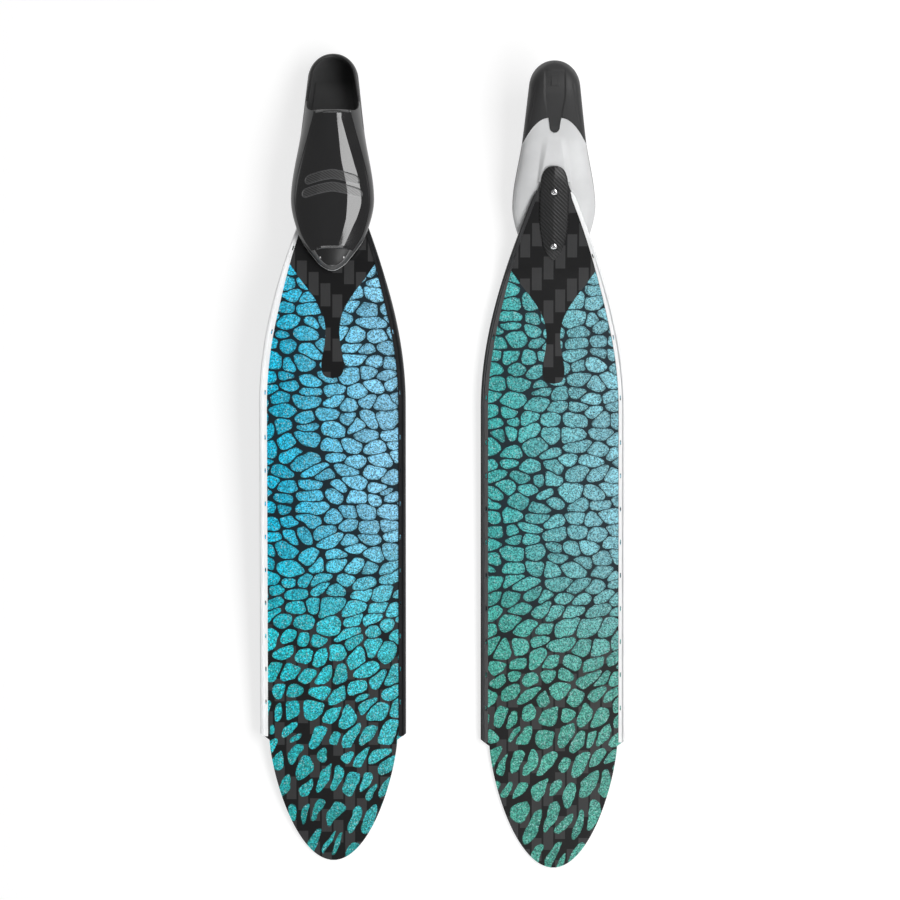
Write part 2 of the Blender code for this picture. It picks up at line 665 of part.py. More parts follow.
def make_screw(along):
    """Button-head screw about Z: head's seat at z = 0, socket facing down, end flush with the insert."""
    length = sole_top(along) - screw_seat(along) - GAP
    return turned("screw", [
        (SOCKET_RADIUS, -HEAD_HEIGHT + SOCKET_DEPTH),
        (SOCKET_RADIUS, -HEAD_HEIGHT),
        (HEAD_RADIUS - 2.0 * HEAD_ROUNDING, -HEAD_HEIGHT),
        (HEAD_RADIUS - HEAD_ROUNDING / 2, -HEAD_HEIGHT + HEAD_ROUNDING / 2),
        (HEAD_RADIUS, -HEAD_HEIGHT + 1.5 * HEAD_ROUNDING),
        (HEAD_RADIUS, 0.0),
        (SCREW_RADIUS, 0.0),
        (SCREW_RADIUS, length - SCREW_POINT),
        (SCREW_RADIUS - SCREW_POINT, length),
    ], closed=False)


def make_insert(along):
    """Flanged threaded insert about Z, its flange's upper face at z = 0."""
    bore_radius = SCREW_RADIUS + SCREW_GAP
    bottom = TANG_FACE + GAP - sole_top(along)
    return turned("insert", [
        (bore_radius, bottom),
        (INSERT_RADIUS, bottom),
        (INSERT_RADIUS, -FLANGE_THICKNESS),
        (FLANGE_RADIUS, -FLANGE_THICKNESS),
        (FLANGE_RADIUS, 0.0),
        (bore_radius, 0.0),
    ], closed=True)


def make_material(kind):
    """Principled material with the piece's colour, roughness and metallic value."""
    colour, roughness, metallic = COLOURS[kind]
    material = bpy.data.materials.new(kind)
    material.use_nodes = True
    shader = material.node_tree.nodes["Principled BSDF"]
    shader.inputs["Base Color"].default_value = (*colour, 1.0)
    shader.inputs["Roughness"].default_value = roughness
    shader.inputs["Metallic"].default_value = metallic
    return material


def make_pieces():
    """Every piece of a fin: mesh, material, whether it hangs on the pocket frame, and its place there."""
    pieces = {"blade": (make_blade(), "blade", False, (0.0, 0.0, 0.0))}
    pieces["white_rail"] = (make_rail("white_rail", -1.0), "white_rail", False, (0.0, 0.0, 0.0))
    pieces["black_rail"] = (make_rail("black_rail", 1.0), "black_rail", False, (0.0, 0.0, 0.0))
    for name, mesh in make_pocket().items():
        pieces[name] = (mesh, name, True, (0.0, 0.0, 0.0))
    pieces["fixing_plate"] = (make_plate(), "fixing_plate", True, (0.0, 0.0, 0.0))
    for end, along in (("front", FRONT_SCREW_AT), ("rear", REAR_SCREW_AT)):
        pieces[end + "_screw"] = (make_screw(along), "screw", True, (0.0, along, screw_seat(along)))
        pieces[end + "_insert"] = (make_insert(along), "insert", True, (0.0, along, sole_top(along)))
    return pieces


def fin_points(pieces, pocket_turn):
    """All corner points of a fin in the fin frame."""
    points = []
    for mesh, _, on_pocket, place in pieces.values():
        corners = np.empty(len(mesh.vertices) * 3, np.float32)
        mesh.vertices.foreach_get("co", corners)
        corners = corners.reshape(-1, 3) + np.array(place)
        points.append(corners @ np.array(pocket_turn).T if on_pocket else corners)
    return np.concatenate(points)


def resting_tilt(side_points):
    """Turn about X that lays (y, z) points on the floor, on a low point each side of the balance."""
    front = side_points[side_points[:, 0] < BALANCE_AT]
    rear = side_points[side_points[:, 0] >= BALANCE_AT]
    low_front, low_rear = front[np.argmin(front[:, 1])], rear[np.argmin(rear[:, 1])]
    for _ in range(SETTLE_STEPS):
        slope = (low_rear[1] - low_front[1]) / (low_rear[0] - low_front[0])
        low_front = front[np.argmin(front[:, 1] - slope * front[:, 0])]
        low_rear = rear[np.argmin(rear[:, 1] - slope * rear[:, 0])]
    return -math.atan2(low_rear[1] - low_front[1], low_rear[0] - low_front[0])


def main():
    for thing in list(bpy.data.objects):
        bpy.data.objects.remove(thing)
    pieces = make_pieces()
    materials = {kind: make_material(kind) for kind in COLOURS}
    for mesh, kind, _, _ in pieces.values():
        if not mesh.materials:
            mesh.materials.append(materials[kind])
        mesh.shade_smooth()
        mesh.set_sharp_from_angle(angle=SHARP_EDGE)
    pocket_turn = Matrix.Rotation(-BLADE_ANGLE, 3, "X")
    points = fin_points(pieces, pocket_turn)
    sides = {"left": (0.0, -FIN_SPACING / 2, 0.0), "right": (math.pi, FIN_SPACING / 2, RIGHT_FIN_ADVANCE)}
    turns, placed = {}, {}
    for side, (roll, x, advance) in sides.items():
        rolled = points @ np.array(Matrix.Rotation(roll, 3, "Y")).T
        tilt = resting_tilt(rolled[:, 1:])
        turns[side] = Matrix.Rotation(tilt, 3, "X") @ Matrix.Rotation(roll, 3, "Y")
        turned_points = points @ np.array(turns[side]).T
        placed[side] = turned_points + (x, advance, -turned_points[:, 2].min())
    everything = np.concatenate(list(placed.values()))
    centre = (everything.min(axis=0) + everything.max(axis=0)) / 2
    for side, (_, x, advance) in sides.items():
        lowest = (points @ np.array(turns[side]).T)[:, 2].min()
        place = Matrix.Translation((x - centre[0], advance - centre[1], -lowest)) @ turns[side].to_4x4()
        fin = bpy.data.objects.new(side + "_fin_frame", None)
        fin.matrix_world = place
        pocket = bpy.data.objects.new(side + "_pocket_frame", None)
        pocket.parent = fin
        pocket.rotation_euler = (-BLADE_ANGLE, 0.0, 0.0)
        for empty in (fin, pocket):
            bpy.context.scene.collection.objects.link(empty)
        for name, (mesh, _, on_pocket, spot) in pieces.items():
            piece = bpy.data.objects.new(f"{side}_{name}", mesh)
            piece.parent = pocket if on_pocket else fin
            piece.location = spot
            bpy.context.scene.collection.objects.link(piece)


main()
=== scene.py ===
"""Looks of a pair of long-blade freediving fins: smooth shells, printed blades and finishes around the solids.

Each piece is worked out as a surface in one of two local frames and then carried to its fin's place.
Fin frame: across, along the blade towards the heel, square to the blade towards the instep.
Pocket frame: across, along the sole from toe to heel, up from the sole.
"""

import json
import math

import bmesh
import bpy
import numpy as np
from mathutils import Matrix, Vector


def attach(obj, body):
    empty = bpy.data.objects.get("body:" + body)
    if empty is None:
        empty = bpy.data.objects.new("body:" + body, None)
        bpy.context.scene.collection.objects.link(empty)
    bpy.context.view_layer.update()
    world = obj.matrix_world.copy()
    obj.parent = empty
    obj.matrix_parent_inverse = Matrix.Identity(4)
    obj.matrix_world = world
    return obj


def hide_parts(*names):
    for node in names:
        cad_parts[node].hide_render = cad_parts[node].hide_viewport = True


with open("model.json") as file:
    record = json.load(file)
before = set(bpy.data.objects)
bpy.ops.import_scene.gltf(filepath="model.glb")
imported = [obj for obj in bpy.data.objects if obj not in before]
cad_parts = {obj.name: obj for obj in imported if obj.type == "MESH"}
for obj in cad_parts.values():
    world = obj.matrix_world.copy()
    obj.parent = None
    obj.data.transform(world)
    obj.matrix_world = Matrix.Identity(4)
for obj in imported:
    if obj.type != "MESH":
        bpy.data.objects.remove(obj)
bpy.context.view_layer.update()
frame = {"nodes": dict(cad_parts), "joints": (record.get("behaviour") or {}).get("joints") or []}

# Sizes of the fin in metres, the same as the solids have
BLADE_ANGLE = math.radians(24.0)
BLADE_REACH = 0.784
BEND_HALF_LENGTH = 0.020
FIN_WIDTH = 0.1935
FLARE_LENGTH = 0.300
TANG_LENGTH = 0.1385
TANG_WIDTH = 0.0414
TIP_LENGTH = 0.162
TIP_WIDTH = 0.170
TIP_FULLNESS = 1.4
TIP_FLAT = 0.008
SHOULDER_LENGTH = 0.005
ROOT_THICKNESS = 0.0022
TIP_THICKNESS = 0.0010
RAIL_LIP = 0.0050
RAIL_WALL = 0.0046
RAIL_CROWN = 0.0052
RAIL_LIP_THICKNESS = 0.0014
RAIL_CHAMFER = 0.0008
TANG_RAIL_LIP = 0.0022
TANG_RAIL_WALL = 0.0026
TANG_RAIL_CROWN = 0.0027
RAIL_START_SETBACK = 0.0115
RAIL_SWELL_FROM = 0.085
RAIL_SWELL_TO = -0.060
WINDOW_LENGTH = 0.0065
WINDOW_WIDTH = 0.0016
WINDOW_PITCH = 0.0442
EVEN_WINDOWS = 9
SPREAD_WINDOWS = 3
WINDOW_SPREAD = 1.35
WINDOW_END_MARGIN = 0.051
POCKET_LENGTH = 0.298
TOE_WIDTH = 0.022
FOREFOOT_AT = 0.052
FOREFOOT_WIDTH = 0.091
BALL_AT = 0.097
BALL_WIDTH = 0.110
WAIST_AT = 0.188
WAIST_WIDTH = 0.084
HEEL_AT = 0.262
HEEL_WIDTH = 0.068
TOE_ROUNDING = 0.012
HEEL_ROUNDING = 0.038
TOE_HEIGHT = 0.015
LIP_AT = 0.0245
LIP_HEIGHT = 0.0285
BALL_HEIGHT = 0.047
INSTEP_AT = 0.192
INSTEP_HEIGHT = 0.072
CROWN_HEIGHT = 0.078
HEEL_TOP_HEIGHT = 0.064
TOE_GIRTH_HEIGHT = 0.0095
BALL_GIRTH_HEIGHT = 0.018
HEEL_GIRTH_HEIGHT = 0.027
ARCH_RISE = 0.005
HEEL_DROP = 0.001
SOLE_SQUARENESS = 3.4
INSTEP_SQUARENESS = 2.1
WALL = 0.0032
SOLE_THICKNESS = 0.0050
INSOLE_THICKNESS = 0.0030
TOE_PARTING_HEIGHT = 0.010
FOREFOOT_PARTING_HEIGHT = 0.0125
BALL_PARTING_HEIGHT = 0.0135
INSTEP_PARTING_HEIGHT = 0.0215
HEEL_RIM_HEIGHT = 0.051
SIDE_RIM_HEIGHT = 0.046
HEEL_CUSP = 0.228
HEEL_SIDE = 0.1813
HEEL_TONGUE = 0.2065
HEEL_TONGUE_WIDTH = 0.017
HEEL_TONGUE_TAPER = 0.0017
HEEL_EDGE_HEIGHT = 0.040
HEEL_EDGE_RISE = 0.004
HEEL_EDGE_END = 0.223
CAP_RECESS = 0.0010
CAP_THICKNESS = 0.0022
PLATE_FRONT = 0.029
PLATE_REAR = 0.163
PLATE_WIDTH = 0.0385
PLATE_RIDGE = 0.0048
PLATE_EDGE = 0.0020
PLATE_POINT_CURVE = (2.2, 0.6)
PLATE_BLUNT_CURVE = (5.0, 0.42)
FRONT_SCREW_AT = 0.049
REAR_SCREW_AT = 0.127
SCREW_RADIUS = 0.0024
HEAD_RADIUS = 0.0047
HEAD_HEIGHT = 0.0026
SOCKET_RADIUS = 0.0016
SOCKET_DEPTH = 0.0016
KEEL_LENGTH = 0.062
KEEL_WIDTH = 0.038
KEEL_TAIL_WIDTH = 0.012
GAP = 0.0003
SCREW_GAP = 0.00012
SEAM = 0.00018
TANG_END_Y = TANG_LENGTH * math.cos(BLADE_ANGLE)
RAIL_START_Y = TANG_END_Y - RAIL_START_SETBACK
RAIL_END_Y = TIP_LENGTH - BLADE_REACH
SOLE_BOTTOM = TANG_RAIL_CROWN + 2.0 * GAP
TANG_FACE = ROOT_THICKNESS / 2.0 + GAP
PLATE_TOP = -TANG_FACE

# Sizes that only the looks have: creases, opening, beads, pads, relief and easings
TOE_CREASE_HEIGHT = 0.0145
BALL_CREASE_HEIGHT = 0.0308
OPENING_AT = 0.2050
OPENING_CORNER = 0.0180
OPENING_BOW = 0.0024
OPENING_BOW_LEAD = 0.02
OPENING_LIP = 0.0044
OPENING_LIP_SLOPE = 0.30
OPENING_LIP_CURL = 0.21
OPENING_CREASE_HEIGHT = 0.0664
FRONT_RIM_HEIGHT = 0.0480
HEEL_EDGE_EASE = 0.003
UPPER_WALL = WALL * 0.75
PANEL_LIMIT = 0.4
BEVEL_LIMIT = 0.78
PANEL_CROWN = 0.45
FACET_BOW = 0.30
PAD_BANDS = ((0.1205, 0.0300), (0.1045, 0.0340))
PAD_HALF_WIDTH = 0.0054
PAD_BEND = 0.20
PAD_BEND_ROUNDING = 0.004
PAD_RISE = 0.0005
PAD_EASE = 0.0008
TOE_BEAD_AT = LIP_AT + 0.0013
TOE_BEAD_HEIGHT = 0.0014
TOE_BEAD_WIDTH = 0.0014
TOE_BEAD_HALF_LENGTH = 0.0215
TOE_BEAD_FADE = 0.004
TOE_PANEL_START = 0.0052
TOE_PANEL_EASE = 0.0009
TOE_RIM_BEAD = 0.0005
# Place and size of two small painted glints on the toe panel.
GLINT_X, GLINT_AT, GLINT_RADIUS, GLINT_STRETCH = 0.0155, 0.0150, 0.0011, 0.75
TOE_CAP_EDGE = 0.0002
UPPER_EDGE = 0.0008
FLANK_EDGE = 0.0006
SOLE_EDGE = 0.0006
HEEL_EDGE = 0.0013
SOLE_NOSE = 0.014
SOLE_LIP = 0.0005
SOLE_LIP_WIDTH = 0.0016
SOLE_PAD_TOE_EASE = 0.004
SOLE_PAD_HEEL_EASE = 0.001
SOLE_PAD_SIDE_EASE = 0.0012
KEEL_FADE_END = 1.12
KEEL_FLANK = 0.004
KEEL_FLANK_GROWTH = 0.007
KEEL_WING_LEAD = 0.0225
KEEL_WING_EASE = 0.022
KEEL_WING_SETOFF = 0.004
UNDERSIDE_EASE = 0.5
TONGUE_REACH = 0.013
TONGUE_FADE = 0.004
TONGUE_EXTRA_STEPS = 2.2
HEEL_PANEL_DEPTH = 0.0010
HEEL_PANEL_SIDE_EASE = 0.0011
HEEL_PANEL_START, HEEL_PANEL_START_EASE = HEEL_TONGUE + 0.004, 0.006
HEEL_PANEL_END, HEEL_PANEL_END_EASE = 0.2935, 0.003
HEEL_TAB_RISE = 0.0008
HEEL_TAB_HALF_WIDTH = 0.0056
HEEL_TAB_FROM, HEEL_TAB_TO, HEEL_TAB_EASE = 0.2735, 0.2870, 0.0008
HEEL_GROOVE_DEPTH = 0.0009
HEEL_GROOVE_WIDTH = 0.0012
HEEL_GROOVE_LINE = ((0.2155, 0.276), (0.0345, 0.0245))
HEEL_GROOVE_START, HEEL_GROOVE_START_EASE = 0.214, 0.010
HEEL_GROOVE_END, HEEL_GROOVE_END_EASE = 0.282, 0.012
RAIL_CORNER_EASE = 0.00055
RAIL_POINT_LENGTH = 0.010
RAIL_POINT_WIDTH = 0.35
RAIL_SLANT_LENGTH = 0.009
RAIL_SLANT = 0.9
FOOTBED_CUP = 0.0016
FOOTBED_EASE = 0.985
FOOTBED_LEAST_HALF_WIDTH = 0.004
PLATE_ROUND_FROM = 0.93
PLATE_ROUND_SHARE = 0.07
PLATE_RIDGE_ROUNDING = 0.04
THREAD_PITCH = 0.0008
THREAD_DEPTH = 0.10
THREAD_RUN_OUT = 0.0006
SCREW_POINT = 0.0007
HEAD_EDGE = 0.0002
HEAD_RIM_SHARE = 0.35
FLANK_SEARCH = (0.170, 0.215)
HEEL_SEARCH = (0.150, 0.290)
NEARLY_QUARTER_TURN = math.pi / 2 - 1e-6
TINY = 1e-9
WELD = 4e-6
SHARP_EDGE = math.radians(40.0)

# Pattern of the blades
TOW_PITCH = 0.0156
TOW_SHARE = 0.84
CHECK_PITCH = 0.0585
CHECK_SHARE = 0.52
CELL_WIDTH = 0.0275
CELL_LENGTH = 0.0180
CELL_IRREGULARITY = 0.80
DROPS_FROM = 0.40

# Stage and light
FLOOR_LEVEL = -0.0011
FLOOR_SHADE = 0.36
FLOOR_GLOW = 0.72
HORIZON_BAND = 0.12


def curve_through(points):
    """Smooth curve through (position, value) points that never overshoots them: a monotone cubic."""
    at, value = np.array(sorted(points)).T
    steps = np.diff(at)
    slopes = np.diff(value) / steps
    tangents = np.concatenate(([slopes[0]], np.zeros(len(at) - 2), [slopes[-1]]))
    same_way = slopes[:-1] * slopes[1:] > 0
    joined = 2.0 * slopes[:-1] * slopes[1:] / np.where(same_way, slopes[:-1] + slopes[1:], 1.0)
    tangents[1:-1] = np.where(same_way, joined, 0.0)

    def curve(position):
        position = np.clip(position, at[0], at[-1])
        i = np.clip(np.searchsorted(at, position, side="right") - 1, 0, len(steps) - 1)
        t = (position - at[i]) / steps[i]
        start = value[i] * (1 + 2 * t) * (1 - t) ** 2 + tangents[i] * steps[i] * t * (1 - t) ** 2
        end = value[i + 1] * t * t * (3 - 2 * t) - tangents[i + 1] * steps[i] * t * t * (1 - t)
        return start + end

    return curve


def smooth_step(t):
    """Ease from 0 to 1 with level ends: 3t^2 - 2t^3."""
    t = np.clip(t, 0.0, 1.0)
    return t * t * (3.0 - 2.0 * t)


def signed_power(value, power):
    """Power of the size of a value, with its sign kept."""
    return np.sign(value) * np.abs(value) ** power


def bump_at(value, centre, width):
    """Bell-shaped swell: e to the minus squared distance over squared width."""
    return np.exp(-(((value - centre) / width) ** 2))


def points_of(x, along, up):
    """Points from three coordinates, each spread over the same grid."""
    return np.stack(np.broadcast_arrays(x, along, up), axis=-1)


def halved(low, high, is_past):
    """Place where a test starts to hold, by halving the interval 40 times."""
    for _ in range(40):
        middle = (low + high) / 2
        past = is_past(middle)
        low, high = np.where(past, low, middle), np.where(past, middle, high)
    return (low + high) / 2


pocket_half_width = curve_through([
    (0.0, TOE_WIDTH / 2), (FOREFOOT_AT, FOREFOOT_WIDTH / 2), (BALL_AT, BALL_WIDTH / 2),
    (WAIST_AT, WAIST_WIDTH / 2), (HEEL_AT, HEEL_WIDTH / 2),
])
pocket_top = curve_through([
    (0.0, TOE_HEIGHT), (LIP_AT, LIP_HEIGHT), (BALL_AT, BALL_HEIGHT), (INSTEP_AT, INSTEP_HEIGHT),
    ((INSTEP_AT + HEEL_AT) / 2, CROWN_HEIGHT), (POCKET_LENGTH, HEEL_TOP_HEIGHT),
])
pocket_girth = curve_through([
    (0.0, TOE_GIRTH_HEIGHT), (BALL_AT, BALL_GIRTH_HEIGHT), (INSTEP_AT, HEEL_GIRTH_HEIGHT),
    (POCKET_LENGTH, HEEL_GIRTH_HEIGHT),
])
pocket_bottom = curve_through([
    (0.0, SOLE_BOTTOM), (TANG_LENGTH, SOLE_BOTTOM), (INSTEP_AT, SOLE_BOTTOM + ARCH_RISE),
    (HEEL_AT, SOLE_BOTTOM - HEEL_DROP), (POCKET_LENGTH, SOLE_BOTTOM - HEEL_DROP),
])
parting_height = curve_through([
    (0.0, TOE_PARTING_HEIGHT), (FOREFOOT_AT, FOREFOOT_PARTING_HEIGHT), (BALL_AT, BALL_PARTING_HEIGHT),
    (INSTEP_AT, INSTEP_PARTING_HEIGHT),
])
crease_height = curve_through([
    (0.0, TOE_CREASE_HEIGHT), (BALL_AT, BALL_CREASE_HEIGHT), (OPENING_AT, OPENING_CREASE_HEIGHT),
])
rim_height = curve_through([
    (OPENING_AT + OPENING_CORNER, FRONT_RIM_HEIGHT), ((INSTEP_AT + HEEL_AT) / 2, SIDE_RIM_HEIGHT),
    (HEEL_AT, HEEL_RIM_HEIGHT - WALL / 2), (POCKET_LENGTH, HEEL_RIM_HEIGHT),
])


# Surfaces of the blade and its rails, in the fin frame

def blade_height(y):
    """Mid-surface of the blade: level, then a parabolic bend, then straight down the tang."""
    into_bend = np.clip(y + BEND_HALF_LENGTH, 0.0, 2.0 * BEND_HALF_LENGTH)
    bend = into_bend ** 2 / (4.0 * BEND_HALF_LENGTH) + np.maximum(y - BEND_HALF_LENGTH, 0.0)
    return -math.tan(BLADE_ANGLE) * bend


def blade_slope(y):
    """Rise of the mid-surface for each metre towards the heel."""
    return -math.tan(BLADE_ANGLE) * np.clip((y + BEND_HALF_LENGTH) / (2.0 * BEND_HALF_LENGTH), 0.0, 1.0)


def blade_thickness(y):
    """Even taper from the root to the tip."""
    share = np.clip(-y / BLADE_REACH, 0.0, 1.0)
    return ROOT_THICKNESS + (TIP_THICKNESS - ROOT_THICKNESS) * share


def fin_half_width(y):
    """Outer face of the rails: a quarter sine wave from the tang, then parallel."""
    share = np.clip((TANG_END_Y - y) / FLARE_LENGTH, 0.0, 1.0)
    return (TANG_WIDTH + (FIN_WIDTH - TANG_WIDTH) * np.sin(share * math.pi / 2)) / 2


def rail_size(y, slim, full):
    """A rail size at y, easing from its slim value beside the sole to its full value."""
    return slim + (full - slim) * smooth_step((RAIL_SWELL_FROM - y) / (RAIL_SWELL_FROM - RAIL_SWELL_TO))


def blade_half_width(y):
    """Carbon edge inside the rail's groove."""
    return fin_half_width(y) - rail_size(y, TANG_RAIL_WALL, RAIL_WALL) - GAP


def tip_half_width(y):
    """Leaf-shaped tip beyond the rails: root of one minus the distance's share to a power."""
    share = np.clip((RAIL_END_Y - y) / TIP_LENGTH, 0.0, 1.0)
    return TIP_WIDTH / 2 * np.sqrt(np.maximum(1.0 - share ** TIP_FULLNESS, 0.0))


def outline_half_width(y):
    """Half width of the whole carbon plate: groove edge, a short shoulder, then the leaf tip."""
    railed = blade_half_width(np.maximum(y, RAIL_END_Y + SHOULDER_LENGTH))
    share = np.clip((RAIL_END_Y + SHOULDER_LENGTH - y) / SHOULDER_LENGTH, 0.0, 1.0)
    leaf = np.maximum(tip_half_width(y), TIP_FLAT / 2)
    return railed + (leaf - railed) * share


# Half width of the bare carbon window in the print: wide beside the sole, a narrow neck, a bulb and a round end
window_half_width = curve_through([
    (-0.1400, -0.0060), (-0.1390, 0.0045), (-0.1372, 0.0090), (-0.1340, 0.0124), (-0.1290, 0.0143),
    (-0.1210, 0.0149), (-0.1080, 0.0131), (-0.0920, 0.0103), (-0.0770, 0.0092), (-0.0600, 0.0112),
    (-0.0430, 0.0178), (-0.024, 0.0300), (-0.006, 0.0440), (0.009, 0.0545), (0.026, 0.0700),
])


# Surfaces of the foot pocket, in the pocket frame

def closing(along, inset):
    """Share of the full section left near the toe and heel ends: quarter ellipses."""
    toe_round, heel_round = TOE_ROUNDING - inset / 2, HEEL_ROUNDING - inset
    from_toe = np.clip((inset + toe_round - along) / toe_round, 0.0, 1.0)
    from_heel = np.clip((along - POCKET_LENGTH + inset + heel_round) / heel_round, 0.0, 1.0)
    return np.sqrt((1.0 - from_toe ** 2) * (1.0 - from_heel ** 2))


def skin(along, turn, inset=0.0, floor=0.0):
    """Shoe shape: across = half width times cos^(2/n), up = girth + height times sin^(2/n), closed at the ends."""
    close = closing(along, inset)
    girth = pocket_girth(along)
    half = (pocket_half_width(along) - inset) * close
    above = (pocket_top(along) - inset - girth) * close
    below = (girth - pocket_bottom(along) - floor) * close
    cosine, sine = np.cos(turn), np.sin(turn)
    squareness = np.where(sine > 0, INSTEP_SQUARENESS, SOLE_SQUARENESS)
    x = half * signed_power(cosine, 2.0 / squareness)
    up = girth + np.where(sine > 0, above, below) * signed_power(sine, 2.0 / squareness)
    return points_of(x, along, up)


def turn_at_height(along, height):
    """Angle round the section where the skin reaches a height; a quarter turn where it stays below."""
    girth, close = pocket_girth(along), closing(along, 0.0)
    rise = np.maximum((pocket_top(along) - girth) * close, TINY)
    fall = np.maximum((girth - pocket_bottom(along)) * close, TINY)
    over = np.arcsin(np.clip((height - girth) / rise, 0.0, 1.0) ** (INSTEP_SQUARENESS / 2))
    under = np.arcsin(np.clip((girth - height) / fall, 0.0, 1.0) ** (SOLE_SQUARENESS / 2))
    return np.where(height > girth, over, -under)


def round_sole(top_turn, share):
    """Angle round a shell: share -1 to 1 runs from edge to edge under the sole."""
    return -math.pi / 2 + share * (math.pi / 2 + top_turn)


def heel_line(x):
    """Place of the heel line under the sole: a round tongue in the middle, a parabola falling to each side."""
    x = np.abs(x)
    half_tongue = HEEL_TONGUE_WIDTH / 2
    nose = half_tongue - HEEL_TONGUE_TAPER
    tongue = HEEL_TONGUE + half_tongue * (1.0 - np.sqrt(np.clip(1.0 - (x / nose) ** 2, 0.0, 1.0)))
    flank = HEEL_TONGUE + half_tongue + (HEEL_CUSP - HEEL_TONGUE - half_tongue) * (x - nose) / HEEL_TONGUE_TAPER
    side_x = WAIST_WIDTH / 2 + WALL / 2
    share = np.clip((x - half_tongue) / (side_x - half_tongue), 0.0, 1.0)
    arch = HEEL_CUSP - (HEEL_CUSP - HEEL_SIDE) * share ** 2
    return np.where(x < nose, tongue, np.where(x < half_tongue, flank, arch))


def heel_top_height(along):
    """Top of the heel piece: a straight line rising slowly on the flanks, then eased up to the opening's rim."""
    edge = HEEL_EDGE_HEIGHT + HEEL_EDGE_RISE * (along - HEEL_SIDE) / (HEEL_EDGE_END - HEEL_SIDE)
    return edge + (rim_height(along) - edge) * smooth_step((along - HEEL_EDGE_END) / HEEL_EDGE_EASE)


def width_at(along, height):
    """Half width of the skin at a height."""
    return skin(along, turn_at_height(along, height))[..., 0]


def heel_line_at(height):
    """Place where the heel line crosses a height on the flank."""
    return float(halved(*FLANK_SEARCH, lambda along: along >= heel_line(width_at(along, height))))


FLANK_FOOT = heel_line_at(INSTEP_PARTING_HEIGHT)
FLANK_HEAD = heel_line_at(HEEL_EDGE_HEIGHT)
FLANK_RISE = float(heel_top_height(FLANK_HEAD)) - INSTEP_PARTING_HEIGHT


def heel_front(x, up):
    """Front of the heel piece: the heel line under the sole, a straight slanting edge up each flank."""
    flank = FLANK_FOOT + (FLANK_HEAD - FLANK_FOOT) * (up - INSTEP_PARTING_HEIGHT) / FLANK_RISE
    return np.where(up < INSTEP_PARTING_HEIGHT, heel_line(x), flank)


def upper_low_height(along):
    """Bottom of the upper: the parting line, up the heel piece's front edge, then along its top."""
    front = INSTEP_PARTING_HEIGHT + FLANK_RISE * (along - FLANK_FOOT) / (FLANK_HEAD - FLANK_FOOT)
    behind = np.where(along < FLANK_HEAD, front, heel_top_height(along))
    return np.where(along < FLANK_FOOT, parting_height(along), behind)


def upper_edge_height(along):
    """Top of the upper's side: the crease, a corner that is a quarter ellipse from above, then the opening's rim."""
    left_over = np.clip((OPENING_AT + OPENING_CORNER - along) / OPENING_CORNER, 0.0, 1.0)
    start = width_at(np.array(OPENING_AT), OPENING_CREASE_HEIGHT)
    x = start + (width_at(along, rim_height(along)) - start) * np.sqrt(1.0 - left_over ** 2)
    corner = np.where(left_over > 0.0, top_height(x, along), rim_height(along))
    return np.where(along <= OPENING_AT, crease_height(along), corner)


def sole_turn(along, share):
    """Angle round the sole shell, up to the parting line."""
    return round_sole(turn_at_height(along, parting_height(along) - SEAM), share)


def heel_turn(along, share):
    """Angle round the heel piece, up to its top edge."""
    return round_sole(turn_at_height(along, heel_top_height(along) - SEAM), share)


def heel_line_along(share, turn):
    """Where each line round a shell meets the heel piece's front."""
    def is_behind(along):
        x, _, up = np.moveaxis(skin(along, turn(along, share)), -1, 0)
        return along > heel_front(x, up)

    low, high = (np.full(share.shape, limit) for limit in HEEL_SEARCH)
    return halved(low, high, is_behind)


def shell_shares(count, turn):
    """Shares round a shell, spaced evenly along the section but three times closer under the tongue."""
    dense = np.linspace(-1.0, 1.0, 4001)
    at = np.full(dense.shape, HEEL_TONGUE)
    ring = skin(at, turn(at, dense))
    steps = np.linalg.norm(np.diff(ring, axis=0), axis=1)
    middle = (ring[1:, 0] + ring[:-1, 0]) / 2
    low = ring[1:, 2] < pocket_girth(HEEL_TONGUE)
    weight = steps * (1.0 + TONGUE_EXTRA_STEPS * low * smooth_step((TONGUE_REACH - np.abs(middle)) / TONGUE_FADE))
    run = np.concatenate(([0.0], np.cumsum(weight)))
    return np.interp(np.linspace(0.0, run[-1], count), run, dense)


def inner_along(along):
    """Place of the lining point for a place on the outer skin: the length shrunk by a wall at each end."""
    return WALL + along * (POCKET_LENGTH - 2.0 * WALL) / POCKET_LENGTH


def keel_depth(x, along):
    """How far the sole is built down: a flat pad over the tang, then a V-shaped keel fading into the arch."""
    inside_lips = blade_half_width(along * math.cos(BLADE_ANGLE)) - TANG_RAIL_LIP - 3.0 * GAP
    pad_half = np.minimum(inside_lips, pocket_half_width(along) / 2)
    toe_end = smooth_step((along - TOE_ROUNDING) / SOLE_PAD_TOE_EASE)
    heel_end = smooth_step((TANG_LENGTH + SOLE_PAD_HEEL_EASE - along) / SOLE_PAD_HEEL_EASE)
    pad = (SOLE_BOTTOM - TANG_FACE) * (toe_end * heel_end) * smooth_step((pad_half - np.abs(x)) / SOLE_PAD_SIDE_EASE)
    share = np.clip((along - TANG_LENGTH) / KEEL_LENGTH, 0.0, 1.0)
    keel_half = (KEEL_WIDTH + (KEEL_TAIL_WIDTH - KEEL_WIDTH) * share) / 2
    flat = (PLATE_REAR - TANG_LENGTH) / KEEL_LENGTH
    drop = SOLE_BOTTOM - PLATE_TOP - GAP
    fade = 1.0 - smooth_step((share - flat) / (KEEL_FADE_END - flat))
    flank = KEEL_FLANK + KEEL_FLANK_GROWTH * share
    swell = drop * fade * smooth_step((keel_half + flank - np.abs(x)) / flank)
    behind = smooth_step((along - TANG_LENGTH + KEEL_WING_LEAD) / KEEL_WING_EASE)
    beside = smooth_step((np.abs(x) - pad_half - KEEL_WING_SETOFF) / KEEL_WING_SETOFF)
    wings = behind * np.where(along < TANG_LENGTH, beside, 1.0)
    return np.maximum(pad, swell * wings)


